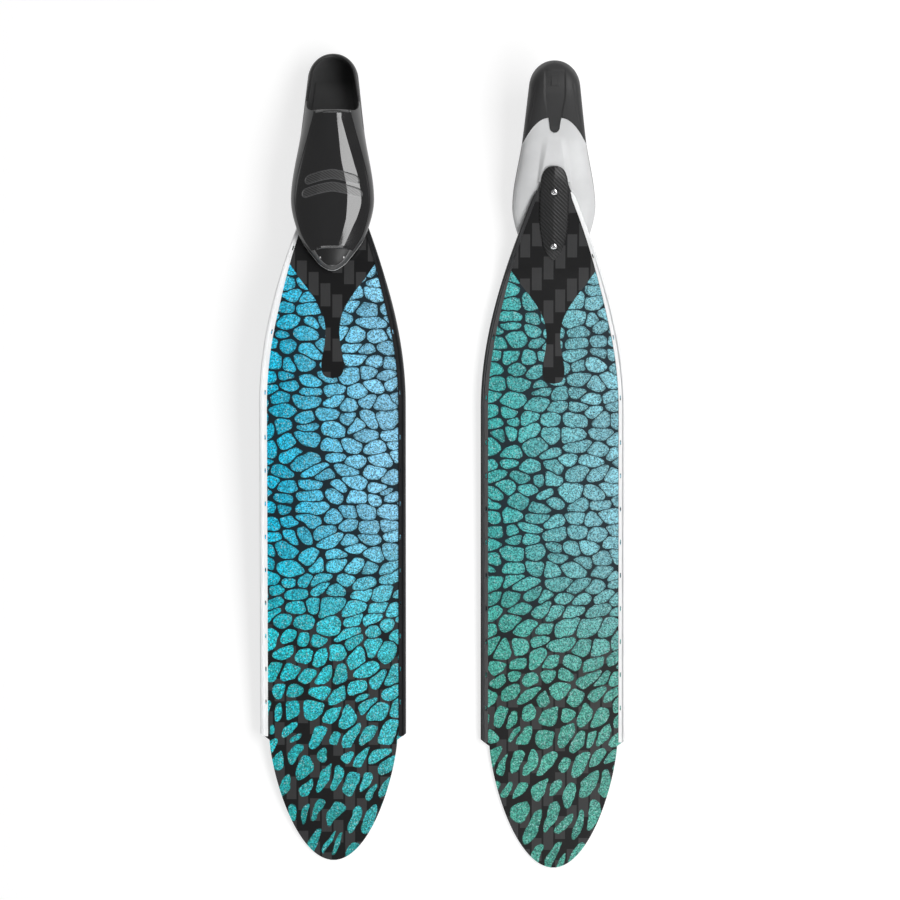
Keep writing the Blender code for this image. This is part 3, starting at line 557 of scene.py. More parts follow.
def plate_half_width(along):
    """Plate outline: powers of the distance from its middle, pointed at the toe end and blunt at the heel end."""
    middle, half_length = (PLATE_FRONT + PLATE_REAR) / 2, (PLATE_REAR - PLATE_FRONT) / 2
    share = np.clip((along - middle) / half_length, -1.0, 1.0)
    pointed = (1.0 - np.abs(share) ** PLATE_POINT_CURVE[0]) ** PLATE_POINT_CURVE[1]
    blunt = (1.0 - np.abs(share) ** PLATE_BLUNT_CURVE[0]) ** PLATE_BLUNT_CURVE[1]
    return PLATE_WIDTH / 2 * np.where(share < 0, pointed, blunt)


def plate_depth(along):
    """Thickness at the ridge, thinning towards both ends."""
    share = plate_half_width(along) * 2.0 / PLATE_WIDTH
    return PLATE_EDGE + (PLATE_RIDGE - PLATE_EDGE) * smooth_step(share)


def screw_seat(along):
    """Height of the counterbore's floor in the plate."""
    return float(PLATE_TOP - plate_depth(np.array(along)) + HEAD_HEIGHT)


# Places: each fin's two local frames, found from its screws

def local_frames(side):
    """Origin and axes of a fin's pocket frame and fin frame, from where its two screws stand."""
    joints = {joint["name"]: joint for joint in frame["joints"]}
    front, rear = joints[f"{side}_front_screw_turn"], joints[f"{side}_rear_screw_turn"]
    up = np.array(front["axis"], float)
    up /= np.linalg.norm(up)
    run = np.array(rear["pos_m"], float) - np.array(front["pos_m"], float)
    along = run - up * (run @ up)
    along /= np.linalg.norm(along)
    across = np.cross(along, up)
    origin = np.array(front["pos_m"], float) - along * FRONT_SCREW_AT - up * screw_seat(FRONT_SCREW_AT)
    y = along * math.cos(BLADE_ANGLE) + up * math.sin(BLADE_ANGLE)
    z = up * math.cos(BLADE_ANGLE) - along * math.sin(BLADE_ANGLE)
    return {"pocket": (origin, np.stack((across, along, up))), "fin": (origin, np.stack((across, y, z)))}


FRAMES = {side: local_frames(side) for side in ("left", "right")}


# Making meshes

EVERY = slice(None)
ALL_EDGES = [(name, EVERY) for name in ("first_row", "last_row", "first_column", "last_column")]


def sheet_quads(rows, columns):
    """Corner numbers of the quads of a grid."""
    number = np.arange(rows * columns).reshape(rows, columns)
    return np.stack((number[:-1, :-1], number[1:, :-1], number[1:, 1:], number[:-1, 1:]), axis=-1).reshape(-1, 4)


def edge_strip(outer, inner, beyond, bulge, steps=5):
    """Rounded edge between two rows of points: straight across plus a parabola outwards, flat at its ends."""
    count = len(outer)
    share = np.linspace(0.0, 1.0, steps)[:, None, None]
    out = outer - beyond
    out = out / np.maximum(np.linalg.norm(out, axis=1, keepdims=True), TINY)
    place = np.arange(count)
    fade = smooth_step(np.minimum(place, count - 1 - place) / 3.0)[:, None]
    return outer + (inner - outer) * share + out * fade * bulge * 4.0 * share * (1.0 - share)


def shell_sheets(outer, inner, edges, bulge, finishes=(0, 1, 0)):
    """Closed wall from two grids: outer face, inner face and rounded strips along the named edges."""
    sheets = [(outer, finishes[0]), (inner, finishes[1])]
    rows = {
        "first_row": (outer[0], inner[0], outer[1]), "last_row": (outer[-1], inner[-1], outer[-2]),
        "first_column": (outer[:, 0], inner[:, 0], outer[:, 1]),
        "last_column": (outer[:, -1], inner[:, -1], outer[:, -2]),
    }
    for name, part in edges:
        sheets.append((edge_strip(*(row[part] for row in rows[name]), bulge), finishes[2]))
    return sheets


def sheet_points(sheets):
    """All points of some sheets, one row each."""
    return np.concatenate([sheet[0].reshape(-1, 3) for sheet in sheets])


def placed_mesh(name, side, where, grids):
    """Mesh of local grids carried to their place on a fin, its seams still open."""
    origin, axes = FRAMES[side][where]
    quads, start = [], 0
    for grid in grids:
        rows, columns = grid.shape[:2]
        quads.append(sheet_quads(rows, columns) + start)
        start += rows * columns
    points = np.concatenate([grid.reshape(-1, 3) for grid in grids])
    mesh = bpy.data.meshes.new(name)
    mesh.from_pydata((origin + points @ axes).tolist(), [], np.concatenate(quads).tolist())
    return mesh


def close_mesh(mesh):
    """Weld the seams and poles of a mesh, drop what has no area and turn its faces outwards."""
    work = bmesh.new()
    work.from_mesh(mesh)
    bmesh.ops.remove_doubles(work, verts=work.verts, dist=WELD)
    bmesh.ops.dissolve_degenerate(work, edges=work.edges, dist=WELD / 4)
    loose = [edge for edge in work.edges if not edge.link_faces]
    bmesh.ops.delete(work, geom=loose, context="EDGES")
    bmesh.ops.recalc_face_normals(work, faces=work.faces)
    work.to_mesh(mesh)
    work.free()
    mesh.update()


def make_piece(name, side, where, sheets, finishes, node, fields=(), body="fin"):
    """Object from sheets of local points: welded, turned outwards, placed on its fin and tied to its body.

    The first finish is also the piece's slot. The attribute called pattern keeps the local points, or the values
    that a sheet brings with it.
    """
    mesh = placed_mesh(f"{side}_{name}", side, where, [sheet[0] for sheet in sheets])
    finish = np.concatenate([np.full((len(grid) - 1) * (len(grid[0]) - 1), index) for grid, index, *_ in sheets])
    pattern = np.concatenate([(own[0] if own else grid).reshape(-1, 3) for grid, _, *own in sheets])
    mesh.polygons.foreach_set("material_index", finish.astype(np.int32))
    mesh.attributes.new("pattern", "FLOAT_VECTOR", "POINT").data.foreach_set("vector", pattern.ravel())
    for key, values in dict(fields).items():
        mesh.attributes.new(key, "FLOAT", "POINT").data.foreach_set("value", np.ravel(values))
    close_mesh(mesh)
    mesh.shade_smooth()
    mesh.set_sharp_from_angle(angle=SHARP_EDGE)
    for key in finishes:
        mesh.materials.append(FINISHES[key])
    piece = bpy.data.objects.new(f"{side}_{name}", mesh)
    bpy.context.scene.collection.objects.link(piece)
    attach(piece, f"{side}_{body}")
    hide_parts(f"{side}_{node}")
    return piece


def cut_away(piece, side, where, grids):
    """Cut a closed mesh of local grids out of a piece."""
    cutter = placed_mesh("cutter", side, where, grids)
    close_mesh(cutter)
    base, tool = bpy.data.objects.new("base", piece.data), bpy.data.objects.new("tool", cutter)
    for thing in (base, tool):
        bpy.context.scene.collection.objects.link(thing)
    boolean = base.modifiers.new("boolean", "BOOLEAN")
    boolean.solver = "EXACT"
    boolean.operation = "DIFFERENCE"
    boolean.object = tool
    bpy.context.view_layer.update()
    piece.data = bpy.data.meshes.new_from_object(base.evaluated_get(bpy.context.evaluated_depsgraph_get()))
    for thing in (base, tool):
        bpy.data.objects.remove(thing)
    piece.data.name = piece.name


def lathe(profile, at=0.0, turns=49):
    """Surface turned about the up axis at a place along the sole, from (radius, height) rows; welded later."""
    angle = np.linspace(0.0, 2.0 * math.pi, turns)
    radius, height = np.array(profile, float).T[..., None]
    return points_of(radius * np.cos(angle), at + radius * np.sin(angle), height)


# Finishes

class Finish:
    """Node material with one main shader; most methods add nodes and give back a socket."""

    def __init__(self, name, colour, roughness, **values):
        self.material = bpy.data.materials.new(name)
        self.material.use_nodes = True
        self.tree = self.material.node_tree
        self.shader = self.tree.nodes["Principled BSDF"]
        self.set("Base Color", (*colour, 1.0))
        self.set("Roughness", roughness)
        for key, value in values.items():
            self.set(key.replace("_", " "), value)

    def set(self, socket, value):
        """Give a shader socket a constant or link a node's socket to it."""
        self.give(self.shader.inputs[socket], value)

    def source(self, socket):
        """Node socket that feeds a shader socket."""
        return self.shader.inputs[socket].links[0].from_socket

    def give(self, target, value):
        if isinstance(value, bpy.types.NodeSocket):
            self.tree.links.new(value, target)
        elif value is not None:
            target.default_value = value

    def node(self, kind, inputs=(), **settings):
        made = self.tree.nodes.new("ShaderNode" + kind)
        for key, value in settings.items():
            setattr(made, key, value)
        for key, value in dict(inputs).items():
            self.give(made.inputs[key], value)
        return made

    def math(self, operation, a, b=None, c=None):
        return self.node("Math", {0: a, 1: b, 2: c}, operation=operation).outputs[0]

    def plus(self, a, b):
        return self.math("ADD", a, b)

    def minus(self, a, b):
        return self.math("SUBTRACT", a, b)

    def times(self, a, b):
        return self.math("MULTIPLY", a, b)

    def over(self, a, b):
        return self.math("DIVIDE", a, b)

    def wave(self, value, rate=1.0):
        """Sine wave with a number of turns for each unit of the value."""
        return self.math("SINE", self.times(value, 2.0 * math.pi * rate))

    def vector(self, operation, inputs):
        return self.node("VectorMath", inputs, operation=operation).outputs[0]

    def field(self, name):
        """A number that the mesh keeps for each point."""
        return self.node("Attribute", attribute_name=name).outputs["Fac"]

    def pattern(self):
        """Local place that the mesh keeps for each point."""
        return self.node("Attribute", attribute_name="pattern").outputs["Vector"]

    def split(self, vector):
        return self.node("SeparateXYZ", {0: vector}).outputs

    def join(self, x, y, z=0.0):
        return self.node("CombineXYZ", {0: x, 1: y, 2: z}).outputs[0]

    def noise(self, vector, scale, detail=2.0, rough=0.5):
        inputs = {"Vector": vector, "Scale": scale, "Detail": detail, "Roughness": rough}
        return self.node("TexNoise", inputs).outputs

    def streaks(self, x, y, x_scale, y_scale):
        """Noise drawn out by a scale of its own each way."""
        return self.noise(self.join(self.times(x, x_scale), self.times(y, y_scale)), 1.0)[0]

    def cells(self, vector, feature, randomness=1.0, scale=1.0):
        inputs = {"Vector": vector, "Scale": scale, "Randomness": randomness}
        if feature == "SMOOTH_F1":
            inputs["Smoothness"] = 1.0
        return self.node("TexVoronoi", inputs, voronoi_dimensions="2D", feature=feature).outputs

    def step(self, value, low, high, out_low=0.0, out_high=1.0):
        """Smooth change from out_low to out_high while a value runs from low to high."""
        inputs = {0: value, 1: low, 2: high, 3: out_low, 4: out_high}
        return self.node("MapRange", inputs, interpolation_type="SMOOTHSTEP").outputs[0]

    def near(self, value, centre, full, none):
        """1 within a distance of a centre, falling to 0 at a longer one."""
        return self.step(self.math("ABSOLUTE", self.minus(value, centre)), full, none, 1.0, 0.0)

    def mix(self, share, a, b, blend="MIX"):
        made = self.node("Mix", data_type="RGBA", blend_type=blend)
        for socket, value in ((0, share), (6, a), (7, b)):
            if isinstance(value, tuple) and len(value) == 3:
                value = (*value, 1.0)
            self.give(made.inputs[socket], value)
        return made.outputs[2]

    def shaded(self, colour, level):
        """A colour times one level for all its channels."""
        return self.mix(1.0, colour, self.join(level, level, level), "MULTIPLY")

    def bump(self, height, distance, strength=1.0, normal=None):
        inputs = {"Height": height, "Distance": distance, "Strength": strength}
        made = self.node("Bump", inputs)
        if normal is not None:
            self.give(made.inputs["Normal"], normal)
        return made.outputs[0]


def tow_weave(finish, x, y):
    """Spread-tow weave: columns 15.6 mm apart of light checks 13 by 30 mm, each column shifted a quarter on."""
    across = finish.over(x, TOW_PITCH)
    shift = finish.times(finish.math("FLOOR", across), 0.25)
    row = finish.math("FRACT", finish.plus(finish.over(y, CHECK_PITCH), shift))
    light = finish.times(finish.math("LESS_THAN", row, CHECK_SHARE),
                         finish.math("LESS_THAN", finish.math("FRACT", across), TOW_SHARE))
    lengthways = finish.streaks(x, y, 2600.0, 40.0)
    crossways = finish.streaks(x, y, 40.0, 2600.0)
    fibre = finish.mix(light, crossways, lengthways)
    dark_tow = finish.mix(fibre, (0.0025, 0.0025, 0.003), (0.0075, 0.0075, 0.008))
    light_tow = finish.mix(fibre, (0.028, 0.028, 0.029), (0.046, 0.046, 0.047))
    return finish.mix(light, dark_tow, light_tow), fibre


def printed_net(finish, flat, tipwards, lit):
    """Net of irregular cells on warped ground, its lines where the cells' distance and its smoothed copy part.

    Beyond 0.4 m the cells are drawn out by the square of the distance and narrowed, and the lines widen into gaps.
    Gives back the cells, the distance from their edges and how far the ink covers.
    """
    drift = finish.vector("SUBTRACT", {0: finish.noise(flat, 16.0, 3.0)[1], 1: (0.5, 0.5, 0.5)})
    push = finish.vector("SCALE", {0: drift, "Scale": 0.028})
    across, along, _ = finish.split(finish.vector("ADD", {0: flat, 1: push}))
    beyond = finish.math("MAXIMUM", finish.minus(finish.times(along, -1.0), DROPS_FROM), 0.0)
    drawn_out = finish.times(finish.times(beyond, beyond), 0.95)
    narrowing = finish.math("MULTIPLY_ADD", beyond, 1.2, 1.0)
    place = finish.join(finish.times(finish.over(across, CELL_WIDTH), narrowing),
                        finish.over(finish.plus(along, drawn_out), CELL_LENGTH))
    cell = finish.cells(place, "F1", CELL_IRREGULARITY)
    soft = finish.cells(place, "SMOOTH_F1", CELL_IRREGULARITY)
    edge = finish.minus(cell["Distance"], soft["Distance"])
    ragged = finish.times(finish.noise(flat, 60.0, 2.0)[0], 0.02)
    limit = finish.plus(finish.step(tipwards, 0.50, 1.0, 0.070, -0.008), ragged)
    # Painted sheen: the net's lines are thinner on the lit side, so the print reads paler there.
    limit = finish.plus(limit, finish.times(lit, 0.026))
    return cell, edge, finish.step(finish.minus(limit, edge), -0.006, 0.008)


def ink_colour(finish, tipwards, face, lit):
    """Ink tones: paler on the side that lit names, a painted sheen from the key lamp on the right; changing towards the
    tip, bluer above and greener below.
    """
    upper_ink = finish.mix(lit, (0.003, 0.410, 0.600), (0.225, 0.520, 0.710))
    lower_ink = finish.mix(lit, (0.014, 0.530, 0.630), (0.062, 0.550, 0.660))
    tip_ink = finish.mix(lit, (0.015, 0.370, 0.390), (0.045, 0.380, 0.420))
    top_ink = finish.mix(finish.step(tipwards, 0.38, 0.66), upper_ink, lower_ink)
    top_ink = finish.mix(finish.step(tipwards, 0.70, 0.95), top_ink, tip_ink)
    sole_upper = finish.mix(lit, (0.040, 0.340, 0.325), (0.180, 0.410, 0.480))
    sole_lower = finish.mix(lit, (0.075, 0.350, 0.270), (0.110, 0.340, 0.280))
    sole_ink = finish.mix(finish.step(tipwards, 0.38, 0.78), sole_upper, sole_lower)
    return finish.mix(finish.step(face, -0.5, 0.5), sole_ink, top_ink)


def glitter(finish, ink, grain, tipwards):
    """Grains of their own brightness in the ink: some green towards the tip, a few pale and a few dark ones."""
    green = finish.times(finish.step(grain[2], 0.30, 0.60, 0.65, 0.0), finish.step(tipwards, 0.45, 0.70))
    ink = finish.mix(green, ink, (0.020, 0.270, 0.200))
    ink = finish.shaded(ink, finish.step(grain[0], 0.0, 1.0, 0.50, 1.45))
    ink = finish.mix(finish.step(grain[1], 0.90, 0.97, 0.0, 0.65), ink, (0.40, 0.66, 0.66))
    return finish.mix(finish.step(grain[2], 0.84, 0.92, 0.0, 0.75), ink, (0.004, 0.045, 0.060))


def printed_carbon():
    """Carbon plate under a clear coat, with a water-light net printed on it that breaks into drops at the tip; a
    painted sheen makes the print paler and its lines thinner towards the key lamp.
    """
    finish = Finish("printed_carbon", (0.02, 0.2, 0.25), 0.34, Specular_IOR_Level=0.25, Coat_Weight=0.30,
                    Coat_Roughness=0.05)
    x, y, face = finish.split(finish.pattern())
    carbon, fibre = tow_weave(finish, x, y)
    tipwards = finish.over(finish.times(y, -1.0), BLADE_REACH)
    flat = finish.join(finish.plus(x, finish.times(face, 0.4)), y)
    # Painted sheen: sheen runs across the blade towards the key lamp, and lit turns it round for the sole face.
    sheen = finish.step(x, -0.095, 0.095)
    lit = finish.math("MULTIPLY_ADD", finish.minus(sheen, 0.5), face, 0.5)
    cell, edge, inked = printed_net(finish, flat, tipwards, lit)
    # Painted glint: each cell is brighter near its edges and darker in its middle.
    lift = finish.step(edge, 0.01, 0.10, 1.14, 0.76)
    own = finish.step(finish.split(cell["Color"])[0], 0.0, 1.0, 0.84, 1.12)
    ink = finish.shaded(ink_colour(finish, tipwards, face, lit), finish.times(lift, own))
    grain = finish.split(finish.cells(flat, "F1", 1.0, 760.0)["Color"])
    ink = glitter(finish, ink, grain, tipwards)
    outline = finish.mix(finish.step(tipwards, 0.45, 0.70), (0.0035, 0.014, 0.021), carbon)
    bare = finish.field("bare")
    covered = finish.step(bare, -0.0003, 0.0003)
    finish.set("Base Color", finish.mix(covered, carbon, finish.mix(inked, outline, ink)))
    finish.set("Roughness", finish.step(bare, -0.0003, 0.0003, 0.30, 0.38))
    height = finish.plus(finish.times(fibre, 0.35), finish.times(grain[0], 0.2))
    finish.set("Normal", finish.bump(height, 0.00010, 0.25))
    return finish.material


def moulded(name, colour, roughness, grain, depth, stain, **values):
    """Moulded rubber or plastic: fine grain in the surface, slow cloudy changes of tone and of shine."""
    finish = Finish(name, colour, roughness, **values)
    place = finish.pattern()
    cloud = finish.noise(place, 38.0, 3.0)[0]
    fine = finish.noise(place, grain, 2.0, 0.6)[0]
    dim = tuple(c * (1.0 - stain) for c in colour)
    bright = tuple(min(1.0, c * (1.0 + stain * 0.6)) for c in colour)
    finish.set("Base Color", finish.mix(finish.step(cloud, 0.25, 0.75), dim, bright))
    finish.set("Roughness", finish.step(cloud, 0.2, 0.8, roughness * 0.88, roughness * 1.10))
    finish.set("Normal", finish.bump(fine, depth, 0.5))
    return finish


def gloss_upper():
    """Gloss black rubber with twill-textured instep pads that have a thin pale outline."""
    finish = moulded("gloss_upper", (0.0090, 0.0090, 0.0096), 0.17, 900.0, 0.00002, 0.12,
                     Coat_Weight=0.8, Coat_Roughness=0.06, Coat_IOR=1.6)
    x, along, _ = finish.split(finish.pattern())
    pad = finish.field("pad")
    inside = finish.step(pad, -0.0002, 0.0002, 1.0, 0.0)
    outline = finish.near(pad, 0.0003, 0.0003, 0.0008)
    wave = finish.wave(finish.plus(finish.times(x, 190.0), finish.times(along, 300.0)))
    twill = finish.mix(finish.step(wave, -0.5, 0.5), (0.016, 0.016, 0.0165), (0.052, 0.052, 0.053))
    base = finish.mix(inside, finish.source("Base Color"), twill)
    finish.set("Base Color", finish.mix(outline, base, (0.075, 0.075, 0.077)))
    rough = finish.node("Mix", {0: inside, 2: finish.source("Roughness"), 3: 0.42}).outputs[0]
    finish.set("Roughness", rough)
    height = finish.times(finish.times(wave, inside), 0.5)
    finish.set("Normal", finish.bump(height, 0.00012, 0.6, finish.source("Normal")))
    return finish.material


def carbon_plate():
    """Carbon twill: slanting ribs about 4 mm apart, lighter where they rise, under a thin coat."""
    finish = Finish("carbon_plate", (0.03, 0.03, 0.03), 0.30, Specular_IOR_Level=0.28, Coat_Weight=0.20,
                    Coat_Roughness=0.12)
    x, along, _ = finish.split(finish.pattern())
    wave = finish.wave(finish.minus(finish.times(along, 175.0), finish.times(x, 190.0)))
    fibre = finish.streaks(x, along, 3000.0, 300.0)
    rib = finish.mix(fibre, (0.009, 0.009, 0.0094), (0.023, 0.023, 0.0236))
    finish.set("Base Color", finish.mix(finish.step(wave, -0.35, 0.55), (0.0045, 0.0045, 0.0048), rib))
    finish.set("Roughness", finish.step(wave, -0.5, 0.5, 0.46, 0.30))
    finish.set("Normal", finish.bump(finish.plus(wave, finish.times(fibre, 0.3)), 0.00022, 0.8))
    return finish.material


def footbed():
    """Dark knitted lining: fine crossed ribs with a soft sheen."""
    finish = Finish("footbed", (0.026, 0.026, 0.027), 0.9, Sheen_Weight=0.15, Sheen_Roughness=0.5)
    place = finish.pattern()
    x, along, _ = finish.split(place)
    knit = finish.times(finish.wave(x, 1.0 / 0.0016), finish.wave(along, 1.0 / 0.0011))
    cloud = finish.noise(place, 60.0, 3.0)[0]
    dark = finish.mix(cloud, (0.024, 0.024, 0.0245), (0.042, 0.042, 0.043))
    finish.set("Base Color", finish.mix(finish.step(knit, -0.6, 0.8), dark, (0.050, 0.050, 0.051)))
    finish.set("Normal", finish.bump(knit, 0.00025, 0.7))
    return finish.material


def toe_panel():
    """Satin black toe cap: a greyer rim round its sunk panel, a painted highlight line on the bead between them and two
    small painted glints.
    """
    finish = moulded("toe_panel", (0.0090, 0.0090, 0.0096), 0.34, 800.0, 0.00002, 0.12, Specular_IOR_Level=0.55)
    inside = finish.field("inside")
    finish.set("Roughness", finish.step(inside, 0.0, TOE_PANEL_EASE, 0.30, 0.46))
    rim = finish.step(inside, -0.0004, 0.0003, 1.0, 0.0)
    base = finish.mix(rim, finish.source("Base Color"), (0.050, 0.050, 0.051))
    # Painted highlight: a pale line along the bead round the sunk panel.
    base = finish.mix(finish.near(inside, -0.0003, 0.0003, 0.0009), base, (0.13, 0.13, 0.132))
    # Painted glints: two small pale spots on the panel.
    painted_glint = finish.step(finish.field("painted_glint"), -0.0002, 0.0002, 1.0, 0.0)
    finish.set("Base Color", finish.mix(painted_glint, base, (0.72, 0.72, 0.72)))
    return finish.material


def polished_steel():
    """Polished steel with small scuffs."""
    finish = Finish("polished_steel", (0.74, 0.74, 0.75), 0.12, Metallic=1.0)
    scuff = finish.noise(finish.pattern(), 1500.0, 4.0, 0.7)[0]
    finish.set("Base Color", finish.mix(finish.step(scuff, 0.45, 0.75), (0.78, 0.78, 0.79), (0.60, 0.60, 0.615)))
    finish.set("Roughness", finish.step(scuff, 0.40, 0.75, 0.08, 0.24))
    return finish.material


def brass_insert():
    """Machined brass, slightly dulled in patches."""
    finish = Finish("brass_insert", (0.70, 0.52, 0.22), 0.3, Metallic=1.0)
    dull = finish.noise(finish.node("TexCoord").outputs["Object"], 420.0, 3.0)[0]
    finish.set("Base Color", finish.mix(finish.step(dull, 0.35, 0.7), (0.74, 0.56, 0.25), (0.46, 0.33, 0.14)))
    finish.set("Roughness", finish.step(dull, 0.35, 0.7, 0.22, 0.42))
    return finish.material


# Plain rubbers: colour, roughness, grains in a metre, depth of the grain, change of tone, other sockets
RUBBERS = {
    "white_rail": ((0.88, 0.885, 0.89), 0.40, 900.0, 0.00003, 0.04, {}),
    "black_rail": ((0.0115, 0.012, 0.0135), 0.36, 900.0, 0.00003, 0.15, {}),
    "satin_flank": ((0.0360, 0.0360, 0.0368), 0.34, 900.0, 0.00002, 0.12, {"Specular_IOR_Level": 0.62}),
    "white_sole": ((0.615, 0.62, 0.625), 0.38, 700.0, 0.00003, 0.05, {"Specular_IOR_Level": 0.45}),
    "matte_heel": ((0.0165, 0.0165, 0.017), 0.56, 1500.0, 0.00022, 0.14, {}),
}
FINISHES = {name: moulded(name, *values, **others).material for name, (*values, others) in RUBBERS.items()}
FINISHES.update({
    "printed_carbon": printed_carbon(), "gloss_upper": gloss_upper(), "toe_panel": toe_panel(), "footbed": footbed(),
    "carbon_plate": carbon_plate(), "polished_steel": polished_steel(), "brass_insert": brass_insert(),
})


# Pieces

def blade_rows():
    """Places along the blade: even steps to the shoulder, then sine steps, closer and closer, round the tip."""
    railed = np.linspace(TANG_END_Y, RAIL_END_Y + SHOULDER_LENGTH, 330)
    swing = np.linspace(0.0, math.pi / 2, 70)
    tip = RAIL_END_Y - TIP_LENGTH * np.sin(swing)
    return np.concatenate((railed, tip))


def make_blade(side):
    """Carbon plate: a grid across and along, lifted by half the thickness each way square to the bent mid-surface."""
    y = blade_rows()[:, None]
    x = outline_half_width(y) * signed_power(np.linspace(-1.0, 1.0, 61)[None, :], 0.94)
    slope = blade_slope(y)
    lift = blade_thickness(y) / 2 / np.hypot(1.0, slope)
    ways = (1.0, -1.0)
    top, base = (points_of(x, y - way * slope * lift, blade_height(y) + way * lift) for way in ways)
    top_marks, base_marks = (points_of(x, y, way) for way in ways)
    sheets = [(top, 0, top_marks), (base, 0, base_marks)]
    for rim in ((0, EVERY), (-1, EVERY), (EVERY, 0), (EVERY, -1)):
        sheets.append((np.stack((top[rim], base[rim])), 0, np.stack((top_marks[rim], base_marks[rim]))))
    marks = np.concatenate([sheet[2].reshape(-1, 3) for sheet in sheets])
    bare = np.abs(marks[:, 0]) - window_half_width(marks[:, 1])
    return make_piece("blade_plate", side, "fin", sheets, ["printed_carbon"], "blade", {"bare": bare})


def rounded_profile(corners, reach, steps):
    """Closed outline with each corner eased by a parabola that starts a set reach before it."""
    ways = []
    for shift in (1, -1):
        way = np.roll(corners, shift, axis=1) - corners
        size = np.linalg.norm(way, axis=2, keepdims=True)
        ways.append(way / np.maximum(size, TINY) * np.minimum(reach, size * 0.45))
    t = np.linspace(0.0, 1.0, steps)[None, None, :, None]
    eased = (1 - t) ** 2 * ways[0][:, :, None] + t ** 2 * ways[1][:, :, None]
    points = corners[:, :, None] + eased
    return points.reshape(len(corners), -1, 2)


def rail_corners(y):
    """Corners of the grooved section at each place: (outwards from the blade's edge, up)."""
    lip = rail_size(y, TANG_RAIL_LIP, RAIL_LIP)
    outer = GAP + rail_size(y, TANG_RAIL_WALL, RAIL_WALL)
    crown = rail_size(y, TANG_RAIL_CROWN, RAIL_CROWN)
    groove = blade_thickness(y) / 2 + GAP * 0.4
    lip_top = np.minimum(groove + RAIL_LIP_THICKNESS, crown)
    gap = np.full(y.shape, GAP)
    upper = [(gap, groove), (-lip, groove), (-lip, lip_top), (gap * 0.0, lip_top), (gap + RAIL_CHAMFER, crown),
             (outer - RAIL_CHAMFER, crown), (outer, crown - RAIL_CHAMFER)]
    lower = [(out, -up) for out, up in upper[::-1]]
    return np.stack([np.stack(corner, axis=-1) for corner in upper + lower], axis=1)


def window_places():
    """Windows at an even pitch from the rail's lower end, then ever wider apart towards the sole."""
    even = [WINDOW_PITCH] * (EVEN_WINDOWS - 1)
    wider = [WINDOW_PITCH * WINDOW_SPREAD ** (k + 1) for k in range(SPREAD_WINDOWS)]
    return RAIL_END_Y + WINDOW_END_MARGIN + np.cumsum([0.0] + even + wider)


def window_grids(way):
    """All the slots of one rail: rounded prisms through both lips, turned with the rail."""
    angle = np.linspace(0.0, 2.0 * math.pi, 25)
    along = signed_power(np.sin(angle), 0.55) * WINDOW_LENGTH / 2
    across = signed_power(np.cos(angle), 0.75) * WINDOW_WIDTH / 2
    scale, reach = np.array([(0.0, -1.0), (1.0, -1.0), (1.0, 1.0), (0.0, 1.0)]).T[..., None]
    grids = []
    for y in window_places():
        middle = blade_half_width(y) - rail_size(y, TANG_RAIL_LIP, RAIL_LIP) / 2
        spread = (blade_half_width(y - 0.003) - blade_half_width(y + 0.003)) / 0.006
        slope = blade_slope(y)
        grids.append(points_of(way * (middle + scale * (across - spread * along)),
                               y + scale * along - slope * reach * RAIL_CROWN,
                               blade_height(y) + slope * scale * along + reach * RAIL_CROWN))
    return grids


def make_rail(side, colour, way):
    """Grooved strip: its section carried along the blade's edge, slanted off below and pointed above."""
    last = RAIL_END_Y + SHOULDER_LENGTH
    y = RAIL_START_Y + (last - RAIL_START_Y) * np.linspace(0.0, 1.0, 300)
    nudge = BEND_HALF_LENGTH / 100
    spread = (blade_half_width(y + nudge) - blade_half_width(y - nudge)) / (2.0 * nudge)
    slope = blade_slope(y)
    run = points_of(spread, 1.0, slope)
    normal = points_of(0.0, -slope, 1.0) / np.hypot(1.0, slope)[:, None]
    out = np.cross(run, normal)
    out /= np.linalg.norm(out, axis=1, keepdims=True)
    edge = points_of(blade_half_width(y), y, blade_height(y))
    profile = rounded_profile(rail_corners(y), RAIL_CORNER_EASE, 4)
    profile = np.concatenate((profile, profile[:, :1]), axis=1)
    point = smooth_step((RAIL_START_Y + 0.0005 - y) / RAIL_POINT_LENGTH)[:, None]
    profile[:, :, 0] *= RAIL_POINT_WIDTH + (1.0 - RAIL_POINT_WIDTH) * point
    near_end = smooth_step((last + RAIL_SLANT_LENGTH - y) / RAIL_SLANT_LENGTH)[:, None]
    ring = edge[:, None] + out[:, None] * profile[:, :, :1] + normal[:, None] * profile[:, :, 1:]
    ring[:, :, 1] += near_end * np.maximum(profile[:, :, 0], 0.0) * RAIL_SLANT
    ring *= (way, 1.0, 1.0)
    half = profile.shape[1] // 2 + 1
    caps = [(np.stack((ring[row][:half], ring[row][::-1][:half])), 0) for row in (0, -1)]
    finish = f"{colour}_rail"
    piece = make_piece(f"{colour}_edge_rail", side, "fin", [(ring, 0)] + caps, [finish], finish)
    cut_away(piece, side, "fin", window_grids(way))
    return piece


def sole_rows(ends):
    """Places along each line of the sole shell: quarter-cosine steps round the toe, then even to the heel line."""
    start = SOLE_NOSE * (1.0 - np.cos(np.linspace(0.0, math.pi / 2, 20)))[:, None] + 0.0 * ends
    rest = SOLE_NOSE + (ends - SOLE_NOSE) * np.linspace(0.0, 1.0, 170)[1:, None]
    return np.concatenate((start, rest))


def open_rows(along, height):
    """Slice of the rows where a shell's two upper edges stand apart, with the last closed row kept."""
    apart = turn_at_height(along, height) < NEARLY_QUARTER_TURN
    first, last = np.argmax(apart), len(apart) - 1 - np.argmax(apart[::-1])
    return slice(max(first - 1, 0), min(last + 2, len(apart)))


def outwards(turn):
    """Direction away from the section's middle at an angle round it."""
    return points_of(np.cos(turn), 0.0, np.sin(turn))


def underside(turn):
    """1 under the shell, easing to 0 at its sides."""
    return smooth_step(-np.sin(turn) / UNDERSIDE_EASE)


